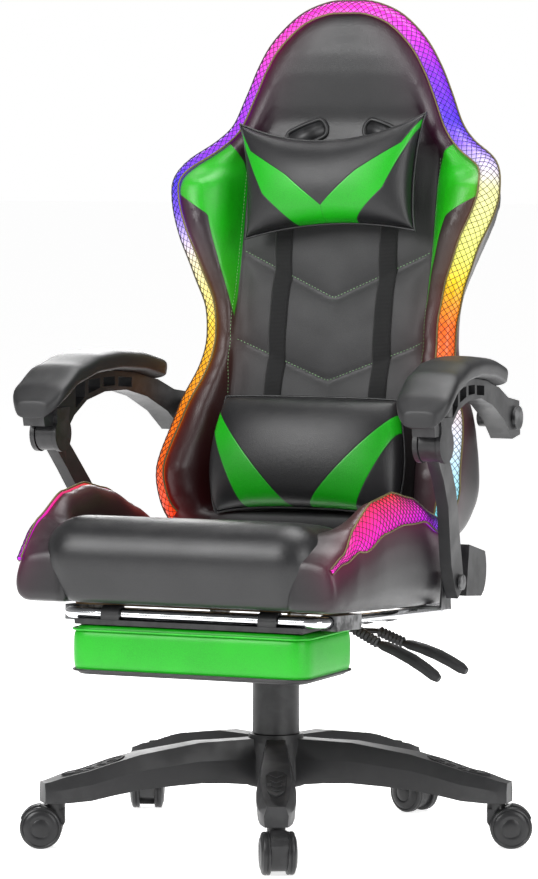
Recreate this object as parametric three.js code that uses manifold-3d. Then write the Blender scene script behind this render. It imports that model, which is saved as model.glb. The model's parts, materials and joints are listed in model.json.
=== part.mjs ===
// A racing-style gaming chair with linkage armrests and a pull-out footrest.
// Millimetres, +Z up. The chair faces -Y, and the gas lift stands on the origin.
import * as THREE from "three";
import { mergeVertices } from "three/addons/utils/BufferGeometryUtils.js";
import Module from "manifold-3d";

const wasm = await Module();
wasm.setup();

// ---------- driving dimensions ----------
const gap = 0.4; // between pieces that touch
const runGap = 0.6; // round a pin or rod that turns or slides

const columnX = -20; // the gas lift's axis: the casters reach further to the left than the arms do

const base = {
  arms: 5, turn: 24, tipRadius: 350, stemRadius: 330, hubRadius: 41, hubBottom: 76, hubTop: 151,
  tipBottom: 65, tipTop: 94, boreRadius: 25.4,
};
const caster = {
  wheelRadius: 30, wheelWidth: 14, hoodWidth: 24, offset: 21, stemRadius: 5.5, stemLength: 24,
    axleRadius: 4,
  turns: [6, 18, -99, -36, -18], // each caster's own swivel, from its arm's direction
};
const column = {
  cylinderRadius: 25, cylinderTop: 236, rodRadius: 14, rodTop: 305, lowerCover: 34, upperCover: 29.5,
  wall: 2.5, lowerCoverTop: 232, upperCoverBottom: 172,
};
const housing = { halfWidth: 55, front: -95, back: 75, bottom: 283, pivotY: -70, pivotZ: 314,
  pinRadius: 6 };
const seat = {
  height: 345, tilt: 3, front: -364, back: 60, halfWidth: 210, boardHalf: 193, thickness: 112,
  roll: 56, // the front edge's radius
  panThickness: 12, boardDrop: 4, boardFront: -262,
};
const footrest = {
  railX: 195, tubeRadius: 8, railDrop: 14, barY: -290, railEnd: 147, cornerRadius: 24, padWidth: 365,
    padFront: -311,
  padDepth: 180, padThickness: 72, boardThickness: 8, padTop: 331,
};
const recline = { y: 135, z: 398, lean: 11, plateX: 196, plateThickness: 6, pinRadius: 7 };
const back = {
  height: 819, bottom: 22, rear: 72, inset: 75, crest: 34, crestRise: 8, rearInset: 55, frameTube: 9,
    frameDepth: -36,
  stripThickness: 3.5, stripBottom: 42, stripInner: 14, stripOuter: 8, stripRise: 3,
};
const arm = {
  strutX: 272, pivotY: 10, pivotZ: 380, knuckleX: 297, knuckleY: -132, knuckleZ: 585, knuckleRadius: 24,
    barrelWidth: 26,
  cheek: 7, pinRadius: 6, strutThickness: 18, bodyWidth: 34, splay: -0.09, rearY: 225, rearZ: 602,
    rearPin: 5,
  rearHole: 12, padWidth: 82, padThickness: 30,
};
const lever = {
  rodRadius: 4, sleeveRadius: 8.5, ribs: 7, pivotX: 40, bendX: 140, sleeveLength: 42, paddleLength: 104,
    socketRadius: 6.6,
  height: { y: -40, z: 312, drop: 27 },
  tilt: { y: 50, z: 300, drop: 21 },
};
const headPillow = { width: 290, height: 172, depth: 92, at: 567 };
const lumbarPillow = { width: 306, height: 168, depth: 104, at: 146 };
const pillowGap = 4.5; // the straps pass behind the pillows
const strap = { x: 84, width: 28, thickness: 2, bottom: 150, top: 600 };

// ---------- materials ----------
const finish = (color, roughness, metalness = 0) => new THREE.MeshStandardMaterial({ color, roughness,
  metalness });
const blackNylon = finish(0x161617, 0.5);
const blackLeather = finish(0x141414, 0.35);
const greenLeather = finish(0x0fa80f, 0.35);
const blackSteel = finish(0x1b1b1d, 0.4, 0.6);
const chrome = finish(0xd9dbe0, 0.12, 1);
const webbing = finish(0x101010, 0.8);
const plywood = finish(0x9a7b52, 0.7);
const lightMesh = finish(0xff7a10, 0.5);

// ---------- small tools ----------
const rad = THREE.MathUtils.degToRad;
const chair = new THREE.Group();
chair.position.x = columnX;
const v2 = (x, y) => new THREE.Vector2(x, y);

function solid(geometry) {
  const bare = geometry.index ? geometry.toNonIndexed() : geometry.clone();
  bare.deleteAttribute("normal");
  bare.deleteAttribute("uv");
  const merged = mergeVertices(bare, 1e-3);
  return new wasm.Manifold(
    new wasm.Mesh({
      numProp: 3,
      vertProperties: merged.attributes.position.array,
      triVerts: new Uint32Array(merged.index.array),
    }),
  );
}

function surface(manifold) {
  const mesh = manifold.getMesh();
  const geometry = new THREE.BufferGeometry();
  geometry.setAttribute("position", new THREE.BufferAttribute(mesh.vertProperties, 3));
  geometry.setIndex(new THREE.BufferAttribute(mesh.triVerts, 1));
  geometry.computeVertexNormals();
  return geometry;
}

const joined = (...shapes) => surface(shapes.map(solid).reduce((a, b) => a.add(b)));
const cut = (shape, ...tools) => surface(tools.map(solid).reduce((a, b) => a.subtract(b), solid(shape)));

function add(group, name, geometry, material) {
  const mesh = new THREE.Mesh(geometry, material);
  mesh.name = name;
  group.add(mesh);
  return mesh;
}

function frameAt(parent, x, y, z, turnX = 0, turnZ = 0) {
  const group = new THREE.Group();
  group.position.set(x, y, z);
  group.rotation.set(rad(turnX), 0, rad(turnZ));
  parent.add(group);
  return group;
}

const box = (x0, x1, y0, y1, z0, z1) =>
  new THREE.BoxGeometry(x1 - x0, y1 - y0, z1 - z0).translate((x0 + x1) / 2, (y0 + y1) / 2, (z0 + z1) / 2);

// a cylinder standing on z0, along Z
const post = (radius, z0, z1, sides = 32) =>
  new THREE.CylinderGeometry(radius, radius, z1 - z0, sides).rotateX(Math.PI / 2).translate(0, 0,
    (z0 + z1) / 2);

// a cylinder along X, centred on (y, z)
const bar = (radius, x0, x1, y, z, sides = 28) =>
  new THREE.CylinderGeometry(radius, radius, x1 - x0,
    sides).rotateZ(Math.PI / 2).translate((x0 + x1) / 2, y, z);

// a turned piece about Z from [radius, height] pairs
const turned = (points, sides = 32) => {
  const made = new THREE.LatheGeometry(points.map(([r, z]) => v2(r, z)), sides).rotateX(Math.PI / 2);
  return solid(made).volume() < 0 ? flipped(made) : made;
};

function flipped(geometry) {
  const made = geometry.index ? geometry.toNonIndexed() : geometry.clone();
  const p = made.attributes.position;
  for (let i = 0; i < p.count; i += 3) {
    const a = new THREE.Vector3().fromBufferAttribute(p, i + 1);
    const b = new THREE.Vector3().fromBufferAttribute(p, i + 2);
    p.setXYZ(i + 1, b.x, b.y, b.z);
    p.setXYZ(i + 2, a.x, a.y, a.z);
  }
  return made;
}

// a (y, z) outline made a plate between two x values
function plate(shape, x0, x1, curveSegments = 8) {
  const made = new THREE.ExtrudeGeometry(shape, { depth: x1 - x0, bevelEnabled: false, curveSegments });
  made.applyMatrix4(new THREE.Matrix4().set(0, 0, 1, x0, 1, 0, 0, 0, 0, 1, 0, 0, 0, 0, 0, 1));
  return made;
}

const polygon = (points) => new THREE.Shape(points.map(([a, b]) => v2(a, b)));

// a value that follows [at, value] pairs
function follow(table, at) {
  if (at <= table[0][0]) return table[0][1];
  for (let i = 1; i < table.length; i++) {
    const [a, va] = table[i - 1];
    const [b, vb] = table[i];
    if (at <= b) return THREE.MathUtils.lerp(va, vb, THREE.MathUtils.smoothstep(at, a,
      b) * 0.5 + (0.5 * (at - a)) / (b - a));
  }
  return table[table.length - 1][1];
}

// closed rings of equal length, joined in order and capped; each cap is triangulated by its own flat outline
function loft(rings, capAxes) {
  const positions = [];
  const push = (...points) => points.forEach((p) => positions.push(p.x, p.y, p.z));
  for (let k = 1; k < rings.length; k++)
    rings[k].forEach((p, i) => {
      const j = (i + 1) % rings[k].length;
      push(rings[k - 1][i], rings[k - 1][j], rings[k][j]);
      push(rings[k - 1][i], rings[k][j], p);
    });
  const [u, v] = capAxes;
  const cap = (ring, reverse) => {
    const flat = ring.map((p) => v2(p[u], p[v]));
    const turn = THREE.ShapeUtils.isClockWise(flat);
    const points = turn ? [...ring].reverse() : ring;
    const faces = THREE.ShapeUtils.triangulateShape(turn ? [...flat].reverse() : flat, []);
    faces.forEach(([a, b, c]) => (turn !== reverse ? push(points[c], points[b],
      points[a]) : push(points[a], points[b], points[c])));
  };
  cap(rings[0], true);
  cap(rings[rings.length - 1], false);
  const made = new THREE.BufferGeometry();
  made.setAttribute("position", new THREE.Float32BufferAttribute(positions, 3));
  return solid(made).volume() < 0 ? flipped(made) : made;
}

// a rounded rectangle in two axes, centred on zero
function roundedRing(width, height, radius, steps = 3) {
  const ring = [];
  const corners = [[1, 1, 0], [-1, 1, 90], [-1, -1, 180], [1, -1, 270]];
  for (const [sx, sy, start] of corners)
    for (let i = 0; i <= steps; i++) {
      const a = rad(start + (90 * i) / steps);
      ring.push([sx * (width / 2 - radius) + radius * Math.cos(a),
        sy * (height / 2 - radius) + radius * Math.sin(a)]);
    }
  return ring;
}

const boxRing = (width, height) => [[width / 2, height / 2], [-width / 2, height / 2],
  [-width / 2, -height / 2], [width / 2, -height / 2]];

// ---------- star base and gas lift ----------
function starBase() {
  const top = [[0, 146], [120, 143], [210, 130], [300, 107], [base.tipRadius, base.tipTop]];
  const bottom = [[0, base.hubBottom], [110, 85], [190, 82], [250, 74], [300, base.tipBottom],
    [base.tipRadius, base.tipBottom]];
  const topWidth = [[0, 34], [60, 24], [150, 34], [250, 44], [320, 36], [base.tipRadius, 26]];
  const foot = [[0, 40], [60, 40], [180, 50], [270, 58], [330, 48], [base.tipRadius, 34]];
  const stations = [0, 40, 80, 120, 165, 210, 250, 285, 318, base.tipRadius - 8, base.tipRadius];
  const makeArm = (angle) => {
    const rings = stations.map((r) => {
      const t = follow(top, r);
      const b = follow(bottom, r);
      const halfTop = follow(topWidth, r) / 2;
      const halfFoot = follow(foot, r) / 2;
      const shoulder = t - (t - b) * 0.45;
      return [[halfTop, t], [-halfTop, t], [-halfFoot, shoulder], [-halfFoot * 0.92, b],
        [halfFoot * 0.92, b], [halfFoot, shoulder]]
        .map(([x, z]) => new THREE.Vector3(x, -r, z));
    });
    return loft(rings, ["x", "z"]).rotateZ(rad(angle));
  };
  const arms = Array.from({ length: base.arms }, (_, i) => makeArm((360 / base.arms) * i));
  const hub = turned([[0, base.hubBottom], [base.hubRadius, base.hubBottom], [base.hubRadius, 140],
    [base.hubRadius - 2, base.hubTop], [0, base.hubTop]]);
  const bore = post(base.boreRadius, base.hubBottom - 5, base.hubTop + 5);
  const sockets = arms.map((_, i) =>
    post(caster.stemRadius + runGap, base.tipBottom - 5, base.tipBottom + caster.stemLength + 1, 20)
      .translate(0, -base.stemRadius, 0).rotateZ(rad((360 / base.arms) * i)));
  return cut(joined(hub, ...arms), bore, ...sockets);
}

function casterHood() {
  const { wheelRadius: r, offset, hoodWidth } = caster;
  const neckTop = base.tipBottom - 1.2;
  const shape = new THREE.Shape();
  shape.moveTo(13, neckTop - 8);
  shape.lineTo(13, r + 6);
  shape.lineTo(2, 21);
  shape.lineTo(-offset + 6, 12);
  shape.absarc(-offset, r, r - 5, -1.25, -Math.PI, true);
  shape.absarc(-offset, r, r + 2, Math.PI * 0.86, Math.PI * 0.52, true);
  shape.lineTo(-12, neckTop - 8);
  const web = plate(shape, -hoodWidth / 2, hoodWidth / 2, 6);
  const neck = post(13, neckTop - 12, neckTop, 24);
  const stem = post(caster.stemRadius, neckTop - 4, base.tipBottom + caster.stemLength, 20);
  const reach = hoodWidth / 2 + caster.wheelWidth - 4;
  return joined(web, neck, stem, bar(caster.axleRadius, -reach, reach, -offset, r, 16));
}

// its flat inner face at x 0, domed towards +X, with a blind bore for the axle
function casterWheel() {
  const { wheelRadius: r, wheelWidth: w, axleRadius } = caster;
  const profile = [[0, w - 3.4], [axleRadius + runGap, w - 3.4], [axleRadius + runGap, 0], [r - 2, 0],
    [r, 2], [r, w - 4.5], [r - 2.5, w - 1.8], [r - 9, w + 0.6], [0, w + 2]];
  return turned(profile, 28).rotateY(Math.PI / 2);
}

function addCasters(group) {
  caster.turns.forEach((turn, i) => {
    const a = rad((360 / base.arms) * i);
    const at = frameAt(group, Math.sin(a) * base.stemRadius, -Math.cos(a) * base.stemRadius, 0, 0,
      (360 / base.arms) * i + turn);
    add(at, `caster_hood_${i + 1}`, casterHood(), blackNylon);
    const inner = caster.hoodWidth / 2 + 1;
    add(at, `caster_wheel_left_${i + 1}`, casterWheel().translate(inner, -caster.offset,
      caster.wheelRadius), blackNylon);
    add(at, `caster_wheel_right_${i + 1}`, casterWheel().rotateZ(Math.PI).translate(-inner,
      -caster.offset, caster.wheelRadius), blackNylon);
  });
}

function addColumn(group) {
  const { cylinderRadius, cylinderTop, rodRadius, rodTop, lowerCover, upperCover, wall } = column;
  const tube = (outer, inner, z0, z1, sides) => cut(post(outer, z0, z1, sides),
    post(inner, z0 - 5, z1 + 5, sides));
  const cylinder = cut(post(cylinderRadius, base.hubBottom - 6, cylinderTop),
    post(rodRadius + runGap, 100, cylinderTop + 5, 24));
  add(group, "gas_cylinder", cylinder, blackSteel);
  add(group, "lower_column_cover", tube(lowerCover, lowerCover - wall, base.hubTop + gap,
    column.lowerCoverTop), blackNylon);
  add(group, "gas_rod", post(rodRadius, 132, rodTop, 24), chrome);
  add(group, "upper_column_cover", tube(upperCover, upperCover - wall, column.upperCoverBottom,
    housing.bottom - 1), blackNylon);
}

// ---------- tilt mechanism and levers ----------
function addMechanism(group) {
  const h = housing;
  const side = polygon([[h.front, h.bottom], [h.back, h.bottom], [h.back, 304], [20, 318], [-40, 326],
    [h.front, 326]]);
  const body = plate(side, -h.halfWidth, h.halfWidth);
  const taper = post(column.rodRadius + gap, h.bottom - 5, column.rodTop + 1, 24);
  const pivot = bar(h.pinRadius + runGap, -h.halfWidth - 5, h.halfWidth + 5, h.pivotY, h.pivotZ);
  const sockets = [lever.height, lever.tilt].map(({ y, z }) => bar(lever.socketRadius,
    lever.pivotX - 12, h.halfWidth + 5, y, z, 16));
  add(group, "tilt_housing", cut(body, taper, pivot, ...sockets), blackSteel);
  const knob = turned([[0, 252], [20, 252], [25, 256], [25, 270], [21, 274], [9, 275],
    [9, h.bottom - 0.5], [0, h.bottom - 0.5]], 20);
  add(group, "tension_knob", knob.translate(0, h.front + 30, 0), blackNylon);
}

function addLever(group, name, { y, z, drop }) {
  const at = frameAt(group, lever.pivotX, y, z);
  const bend = lever.bendX - lever.pivotX;
  const { rodRadius, sleeveRadius, sleeveLength, ribs, paddleLength } = lever;
  const pitch = sleeveLength / ribs;
  const sleeve = [[0, 0], [rodRadius + 1, 0]];
  for (let i = 0; i < ribs; i++) sleeve.push([sleeveRadius - 2, pitch * i + 1],
    [sleeveRadius, pitch * (i + 0.5)]);
  sleeve.push([sleeveRadius - 2, sleeveLength], [0, sleeveLength]);
  const bellows = turned(sleeve, 12).rotateY(rad(90 + drop)).translate(bend, 0, 0);
  add(at, `${name}_rod`, joined(bar(rodRadius, -8, bend + 5, 0, 0, 12), bellows), blackNylon);
  const widths = [[0, 14], [18, 22], [60, 27], [95, 22], [paddleLength, 14]];
  const rings = [0, 10, 30, 55, 78, 95, paddleLength].map((s) => {
    const bow = 5 * Math.sin((Math.PI * s) / paddleLength);
    const thick = s > 100 || s < 5 ? 9 : 13;
    return roundedRing(follow(widths, s), thick, 4, 2).map(([across, up]) => new THREE.Vector3(s,
      across, up + bow));
  });
  const start = new THREE.Vector3(sleeveLength + gap, 0, 0).applyAxisAngle(new THREE.Vector3(0, 1, 0),
    rad(drop));
  add(at, `${name}_paddle`, loft(rings, ["y", "z"]).rotateY(rad(drop)).translate(bend + start.x, 0,
    start.z), blackNylon);
}

// ---------- seat ----------
const seatFrame = frameAt(chair, 0, 0, seat.height, -seat.tilt);
// a point of the upright chair, in the tilted seat's own frame
const inSeat = (y, z) => {
  const a = rad(seat.tilt);
  const dz = z - seat.height;
  return [y * Math.cos(a) - dz * Math.sin(a), y * Math.sin(a) + dz * Math.cos(a)];
};

function addSeatPan(group) {
  const top = seat.panThickness - seat.boardDrop;
  const board = box(-seat.boardHalf, seat.boardHalf, seat.boardFront, 45, -seat.boardDrop, top);
  add(group, "seat_board", board, plywood);
  const { pivotY, pivotZ, pinRadius, halfWidth } = housing;
  const [py, pz] = inSeat(pivotY, pivotZ);
  const flangeX = halfWidth + 3;
  const flange = (x) => plate(polygon([[py - 16, pz - 12], [py + 14, pz - 12], [py + 22, pz + 8],
    [py + 60, -6], [py - 24, -6]]), x, x + 5);
  const plateTop = box(-85, 85, py - 35, 110, -9, -seat.boardDrop - gap);
  const pin = bar(pinRadius, -flangeX - 4, flangeX + 4, py, pz);
  add(group, "seat_plate", joined(plateTop, flange(flangeX), flange(-flangeX - 5), pin), blackSteel);
}

function seatCushion() {
  const { front, back: rear, halfWidth, thickness: t, roll } = seat;
  const shape = new THREE.Shape();
  shape.moveTo(rear, 0);
  shape.lineTo(rear, t - 34);
  shape.quadraticCurveTo(rear - 2, t - 12, rear - 34, t - 12);
  shape.bezierCurveTo(-60, t - 12, front + roll + 70, t + 12, front + roll, t + 12);
  shape.absarc(front + roll, t + 12 - roll, roll, Math.PI / 2, Math.PI * 1.12, false);
  shape.quadraticCurveTo(front + 10, 0, front + 34, 0);
  const foam = plate(shape, -halfWidth, halfWidth, 10);
  const room = box(-seat.boardHalf - 7, seat.boardHalf + 7, seat.boardFront - gap, 76, -10,
    seat.panThickness - seat.boardDrop + gap);
  return cut(foam, room);
}

const bolsterCrest = [[-352, 70], [-325, 88], [-290, 118], [-220, 152], [-150, 163], [-80, 154], [0, 130], [55, 112]];
const bolsterOuter = [[-352, 241], [-300, 252], [-220, 257], [-60, 256], [0, 251], [55, 250]];
const bolsterStations = [-352, -340, -318, -290, -250, -200, -150, -100, -50, 5, 40, 55];
const stripDrop = [[-352, 22], [-250, 44], [-150, 44], [-60, 30], [55, 22]];

// one side bolster's section at y: inner foot, inner top, outer top, the strip's lower edge, outer foot
function bolsterSection(y) {
  const x0 = seat.halfWidth + gap * 2;
  const x1 = follow(bolsterOuter, y);
  const crest = follow(bolsterCrest, y);
  const drop = follow(stripDrop, y);
  return { x0, x1, crest, top: Math.min(x0 + 26, x1 - 12), low: crest - drop };
}

function seatBolster(side) {
  const rings = bolsterStations.map((y) => {
    const s = bolsterSection(y);
    const pinch = y === bolsterStations[0] || y === 55 ? 8 : 0;
    return [[s.x0, 1], [s.x0, s.crest - 34], [s.x0 + 10, s.crest - 6 - pinch], [s.top, s.crest - pinch],
      [s.x1 - pinch, s.low], [s.x1 + 3 - pinch, s.low * 0.55], [s.x1 - 8 - pinch, 1]]
      .map(([x, z]) => new THREE.Vector3(side * x, y, z));
  });
  return loft(rings, ["x", "z"]);
}

function seatLight(side) {
  const rings = bolsterStations.slice(1, -1).map((y) => {
    const s = bolsterSection(y);
    const lean = new THREE.Vector2(s.crest - s.low, s.x1 - s.top).normalize();
    const off = (x, z, d) => new THREE.Vector3(side * (x + lean.x * d), y, z + lean.y * d);
    return [off(s.top, s.crest, 1.2), off(s.x1, s.low, 1.2), off(s.x1, s.low, 4.5),
      off(s.top, s.crest, 4.5)];
  });
  return loft(rings, ["x", "z"]);
}

function addSeatSides(group) {
  for (const [name, side] of [["right", -1], ["left", 1]]) {
    add(group, `seat_bolster_${name}`, seatBolster(side), blackLeather);
    add(group, `seat_light_${name}`, seatLight(side), lightMesh);
    const across = side > 0 ? [183.6, 209] : [-209, -183.6];
    const sleeve = box(...across, -262, -176, -footrest.railDrop - 12, -seat.boardDrop - gap);
    const hole = new THREE.CylinderGeometry(footrest.tubeRadius + runGap, footrest.tubeRadius + runGap,
      120, 24)
      .translate(side * footrest.railX, -219, -footrest.railDrop);
    add(group, `footrest_guide_${name}`, cut(sleeve, hole), blackNylon);
  }
}

// ---------- recline hinges ----------
function addHinges(group) {
  const [hy, hz] = inSeat(recline.y, recline.z);
  const [ay, az] = inSeat(arm.pivotY, arm.pivotZ);
  const plateOut = recline.plateX + recline.plateThickness + 2;
  const boardEdge = seat.boardHalf + gap;
  const [low, high] = [-seat.boardDrop, seat.panThickness - seat.boardDrop];
  for (const [name, side] of [["right", -1], ["left", 1]]) {
    const span = (a, b) => (side > 0 ? [a, b] : [-b, -a]);
    const shape = new THREE.Shape();
    shape.moveTo(62, low);
    shape.lineTo(hy + 14, low);
    shape.lineTo(hy + 19, hz - 8);
    shape.absarc(hy, hz, 20, -0.4, Math.PI, false);
    shape.lineTo(72, high);
    shape.lineTo(62, high);
    const cheek = plate(shape, ...span(plateOut, plateOut + 5), 6);
    const rail = box(...span(boardEdge, boardEdge + 5), -60, 75, low, high);
    const step = box(...span(boardEdge, plateOut + 5), 62, 74, low, high);
    const pin = bar(recline.pinRadius, ...span(recline.plateX - 6, plateOut + 5), hy, hz);
    const outrigger = box(...span(boardEdge, 261.5), ay - 20, ay + 20, -4.6, -0.8);
    const wing = plate(polygon([[ay - 20, -4.6], [ay + 20, -4.6], [ay + 12, az + 12],
      [ay - 12, az + 12]]), ...span(258.5, 261.5));
    const strutOut = arm.strutX + arm.strutThickness / 2;
    const stub = bar(arm.pinRadius, ...span(260, strutOut + 5), ay, az, 20);
    const head = bar(11, ...span(strutOut + 2, strutOut + 6), ay, az, 20);
    add(group, `recline_bracket_${name}`, joined(cheek, rail, step, pin, outrigger, wing, stub, head),
      blackSteel);
    const skin = new THREE.Shape();
    skin.moveTo(hy - 48, hz - 48);
    skin.lineTo(hy + 12, hz - 50);
    skin.bezierCurveTo(hy + 34, hz - 40, hy + 34, hz - 2, hy + 23, hz + 15);
    skin.lineTo(hy - 40, hz + 26);
    const shell = plate(skin, ...span(plateOut + 6, 262), 6);
    const hollow = plate(skin, ...span(plateOut, 258), 6).translate(0, -hy, -hz).scale(1, 0.9,
      0.9).translate(0, hy, hz);
    add(group, `hinge_cover_${name}`, cut(shell, hollow), blackNylon);
  }
}

// ---------- footrest ----------
// a round tube along points that lie in one plane with the given normal
function sweep(points, normal, radius, sides, capAxes) {
  const rings = points.map((p, i) => {
    const before = p.clone().sub(points[Math.max(0, i - 1)]).normalize();
    const after = points[Math.min(points.length - 1, i + 1)].clone().sub(p).normalize();
    const along = before.clone().add(after).normalize();
    const across = new THREE.Vector3().crossVectors(normal, along);
    const mitre = 1 / Math.sqrt((1 + (i === 0 || i === points.length - 1 ? 1 : before.dot(after))) / 2);
    return Array.from({ length: sides }, (_, k) => {
      const a = (Math.PI * 2 * (k + 0.5)) / sides;
      return p.clone().addScaledVector(across, radius * mitre * Math.cos(a)).addScaledVector(normal,
        radius * Math.sin(a));
    });
  });
  return loft(rings, capAxes);
}

function footrestTube() {
  const { railX, cornerRadius: r, barY, railEnd, railDrop } = footrest;
  const half = [new THREE.Vector3(-railX, railEnd, -railDrop)];
  for (let i = 0; i <= 5; i++) {
    const a = (Math.PI / 2) * (i / 5);
    half.push(new THREE.Vector3(-railX + r - r * Math.cos(a), barY + r - r * Math.sin(a), -railDrop));
  }
  const other = half.map((p) => new THREE.Vector3(-p.x, p.y, p.z)).reverse();
  return sweep([...half, ...other], new THREE.Vector3(0, 0, 1), footrest.tubeRadius, 14, ["x", "z"]);
}

function addFootrest(group) {
  add(group, "footrest_tube", footrestTube(), chrome);
  const f = footrest;
  const half = f.padWidth / 2;
  const a = rad(seat.tilt);
  const barAt = [f.barY * Math.cos(a) - f.railDrop * Math.sin(a),
    seat.height - f.barY * Math.sin(a) - f.railDrop * Math.cos(a)];
  const boardTop = f.padTop + f.boardThickness;
  const board = box(-half + 8, half - 8, f.padFront + 8, f.padFront + f.padDepth - 8, f.padTop + gap,
    boardTop);
  const knuckles = [-120, 120].flatMap((x) => [
    bar(f.tubeRadius + 4.6, x - 14, x + 14, ...barAt, 24),
    box(x - 14, x + 14, barAt[0] - 12, barAt[0] + 12, boardTop - 3, barAt[1]),
  ]);
  const room = bar(f.tubeRadius + runGap, -half, half, ...barAt, 24);
  add(chair, "footrest_board", cut(joined(board, ...knuckles), room), blackNylon);
  const outline = new THREE.Shape(roundedRing(f.padWidth, f.padDepth, 26, 4).map(([x, y]) => v2(x, y)));
  const pad = new THREE.ExtrudeGeometry(outline, {
    depth: f.padThickness - 16, bevelSize: 8, bevelThickness: 8, bevelOffset: -8, bevelSegments: 3,
  });
  add(chair, "footrest_pad", pad.translate(0, f.padFront + f.padDepth / 2,
    f.padTop - f.padThickness + 8), greenLeather);
}

// ---------- backrest ----------
// its frame: x across, y back, z up the leaning back, from the recline axis
const backFrame = frameAt(chair, 0, recline.y, recline.z, -recline.lean);

const backSide = [[0, 22], [165, 22], [212, 44], [228, 80], [231, 118], [218, 205], [196, 270],
  [190, 325], [196, 375], [220, 440], [246, 505], [252, 548], [238, 582], [200, 612], [176, 640],
  [157, 684], [138, 727], [114, 765], [76, 800], [34, 817], [0, back.height]];
const edgeForward = [[22, 34], [80, 62], [118, 70], [208, 38], [314, 12], [367, 18], [415, 38],
  [468, 54], [545, 52], [600, 20], [637, 8], [683, 10], [765, 20], [819, 24]];
const stripDepth = [[22, 16], [118, 24], [314, 15], [415, 20], [530, 27], [600, 20], [640, 15],
  [819, 12]];
const wallOut = [[22, 6], [118, 14], [250, 12], [330, 6], [420, -6], [530, -14], [640, -4], [819, 0]];

function backOutline(perSide = 22) {
  const half = new THREE.SplineCurve(backSide.map(([x, z]) => v2(x, z))).getSpacedPoints(perSide);
  const other = half.slice(1, -1).reverse().map((p) => v2(-p.x, p.y));
  return [...half, ...other];
}

// the outline moved out by a distance at each point; a flat bottom keeps its height
function moved(outline, distance) {
  const n = outline.length;
  return outline.map((p, i) => {
    const t = outline[(i + 1) % n].clone().sub(outline[(i + n - 1) % n]).normalize();
    const d = distance(p.y);
    return v2(p.x + t.y * d, p.y - t.x * d);
  });
}

const ring3 = (outline, forward, heights = outline) => outline.map((p, i) => new THREE.Vector3(p.x,
  -forward(heights[i].y), p.y));

// the strip is a bevel between the front and the sides
const stripEdges = (line) => ({ inner: moved(line, () => -back.stripInner),
  outer: moved(line, () => back.stripOuter) });

function backFoam() {
  const line = backOutline();
  const edge = (z) => follow(edgeForward, z);
  const low = (z) => edge(z) - follow(stripDepth, z);
  const strip = stripEdges(line);
  const inner = (z) => -Math.min(back.inset, 58 + z * 0.1);
  const rings = [
    ring3(moved(line, inner), () => 0),
    ring3(moved(line, () => -back.crest), (z) => edge(z) + back.crestRise, line),
    ring3(strip.inner, (z) => edge(z) + back.stripRise, line),
    ring3(strip.outer, low, line),
    ring3(moved(line, (z) => follow(wallOut, z)), (z) => Math.min(-24, low(z) - 8), line),
    ring3(moved(line, () => -28), () => -back.rear + 6, line),
    ring3(moved(line, () => -back.rearInset), () => -back.rear, line),
  ];
  const legs = [-1, 1].map((side) => {
    const x = side * (recline.plateX + recline.plateThickness / 2);
    return box(x - 4, x + 4, -30, 30, -30, 131);
  });
  return cut(loft(rings, ["x", "z"]), backHoop(back.frameTube + 1), ...legs);
}

function backHoop(radius) {
  const x = recline.plateX + recline.plateThickness / 2 - 28;
  const half = [[-x, 12], [-x, 130], [-x + 10, 300], [-x, 440], [-x + 10, 540], [-128, 630], [-96, 730],
    [-50, 766]];
  const points = half.map(([px, z]) => new THREE.Vector3(px, -back.frameDepth, z));
  const other = points.map((p) => new THREE.Vector3(-p.x, p.y, p.z)).reverse();
  return sweep([...points, ...other], new THREE.Vector3(0, 1, 0), radius, 12, ["x", "y"]);
}

function backSteel() {
  const pieces = [backHoop(back.frameTube)];
  for (const side of [-1, 1]) {
    const x = side * (recline.plateX + recline.plateThickness / 2);
    const shape = new THREE.Shape();
    shape.absarc(0, 0, 19, Math.PI, Math.PI * 2, false);
    shape.lineTo(26, 128);
    shape.lineTo(-26, 128);
    const hole = new THREE.Path();
    hole.absarc(0, 0, recline.pinRadius + runGap, 0, Math.PI * 2, true);
    shape.holes.push(hole);
    pieces.push(plate(shape, x - 3, x + 3, 10));
    const tubeX = side * (recline.plateX + recline.plateThickness / 2 - 28);
    pieces.push(box(Math.min(tubeX, x), Math.max(tubeX, x), -back.frameDepth - 12, -back.frameDepth - 6,
      -2, 18));
    pieces.push(box(Math.min(tubeX, x), Math.max(tubeX, x), 14, 40, 10, 16));
  }
  return joined(...pieces);
}

function backLight() {
  const line = backOutline();
  const { inner, outer } = stripEdges(line);
  const rings = [];
  line.forEach((p, i) => {
    if (p.y < back.stripBottom || Math.abs(p.x) < 1 && p.y < 100) return;
    const edge = follow(edgeForward, p.y);
    const a = new THREE.Vector3(inner[i].x, -(edge + back.stripRise), inner[i].y);
    const b = new THREE.Vector3(outer[i].x, -(edge - follow(stripDepth, p.y)), outer[i].y);
    const along = b.clone().sub(a);
    const n = line.length;
    const t2 = line[(i + 1) % n].clone().sub(line[(i + n - 1) % n]).normalize();
    const out = new THREE.Vector3(t2.x, 0, t2.y).cross(along).normalize();
    if (out.x * t2.y - out.z * t2.x < 0) out.negate();
    const at = (s, d) => a.clone().addScaledVector(along, s).addScaledVector(out, d);
    rings.push([at(0.05, 1.6), at(0.95, 1.6), at(0.95, 1.6 + back.stripThickness),
      at(0.05, 1.6 + back.stripThickness)]);
  });
  return loft(rings, ["x", "y"]);
}

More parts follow.
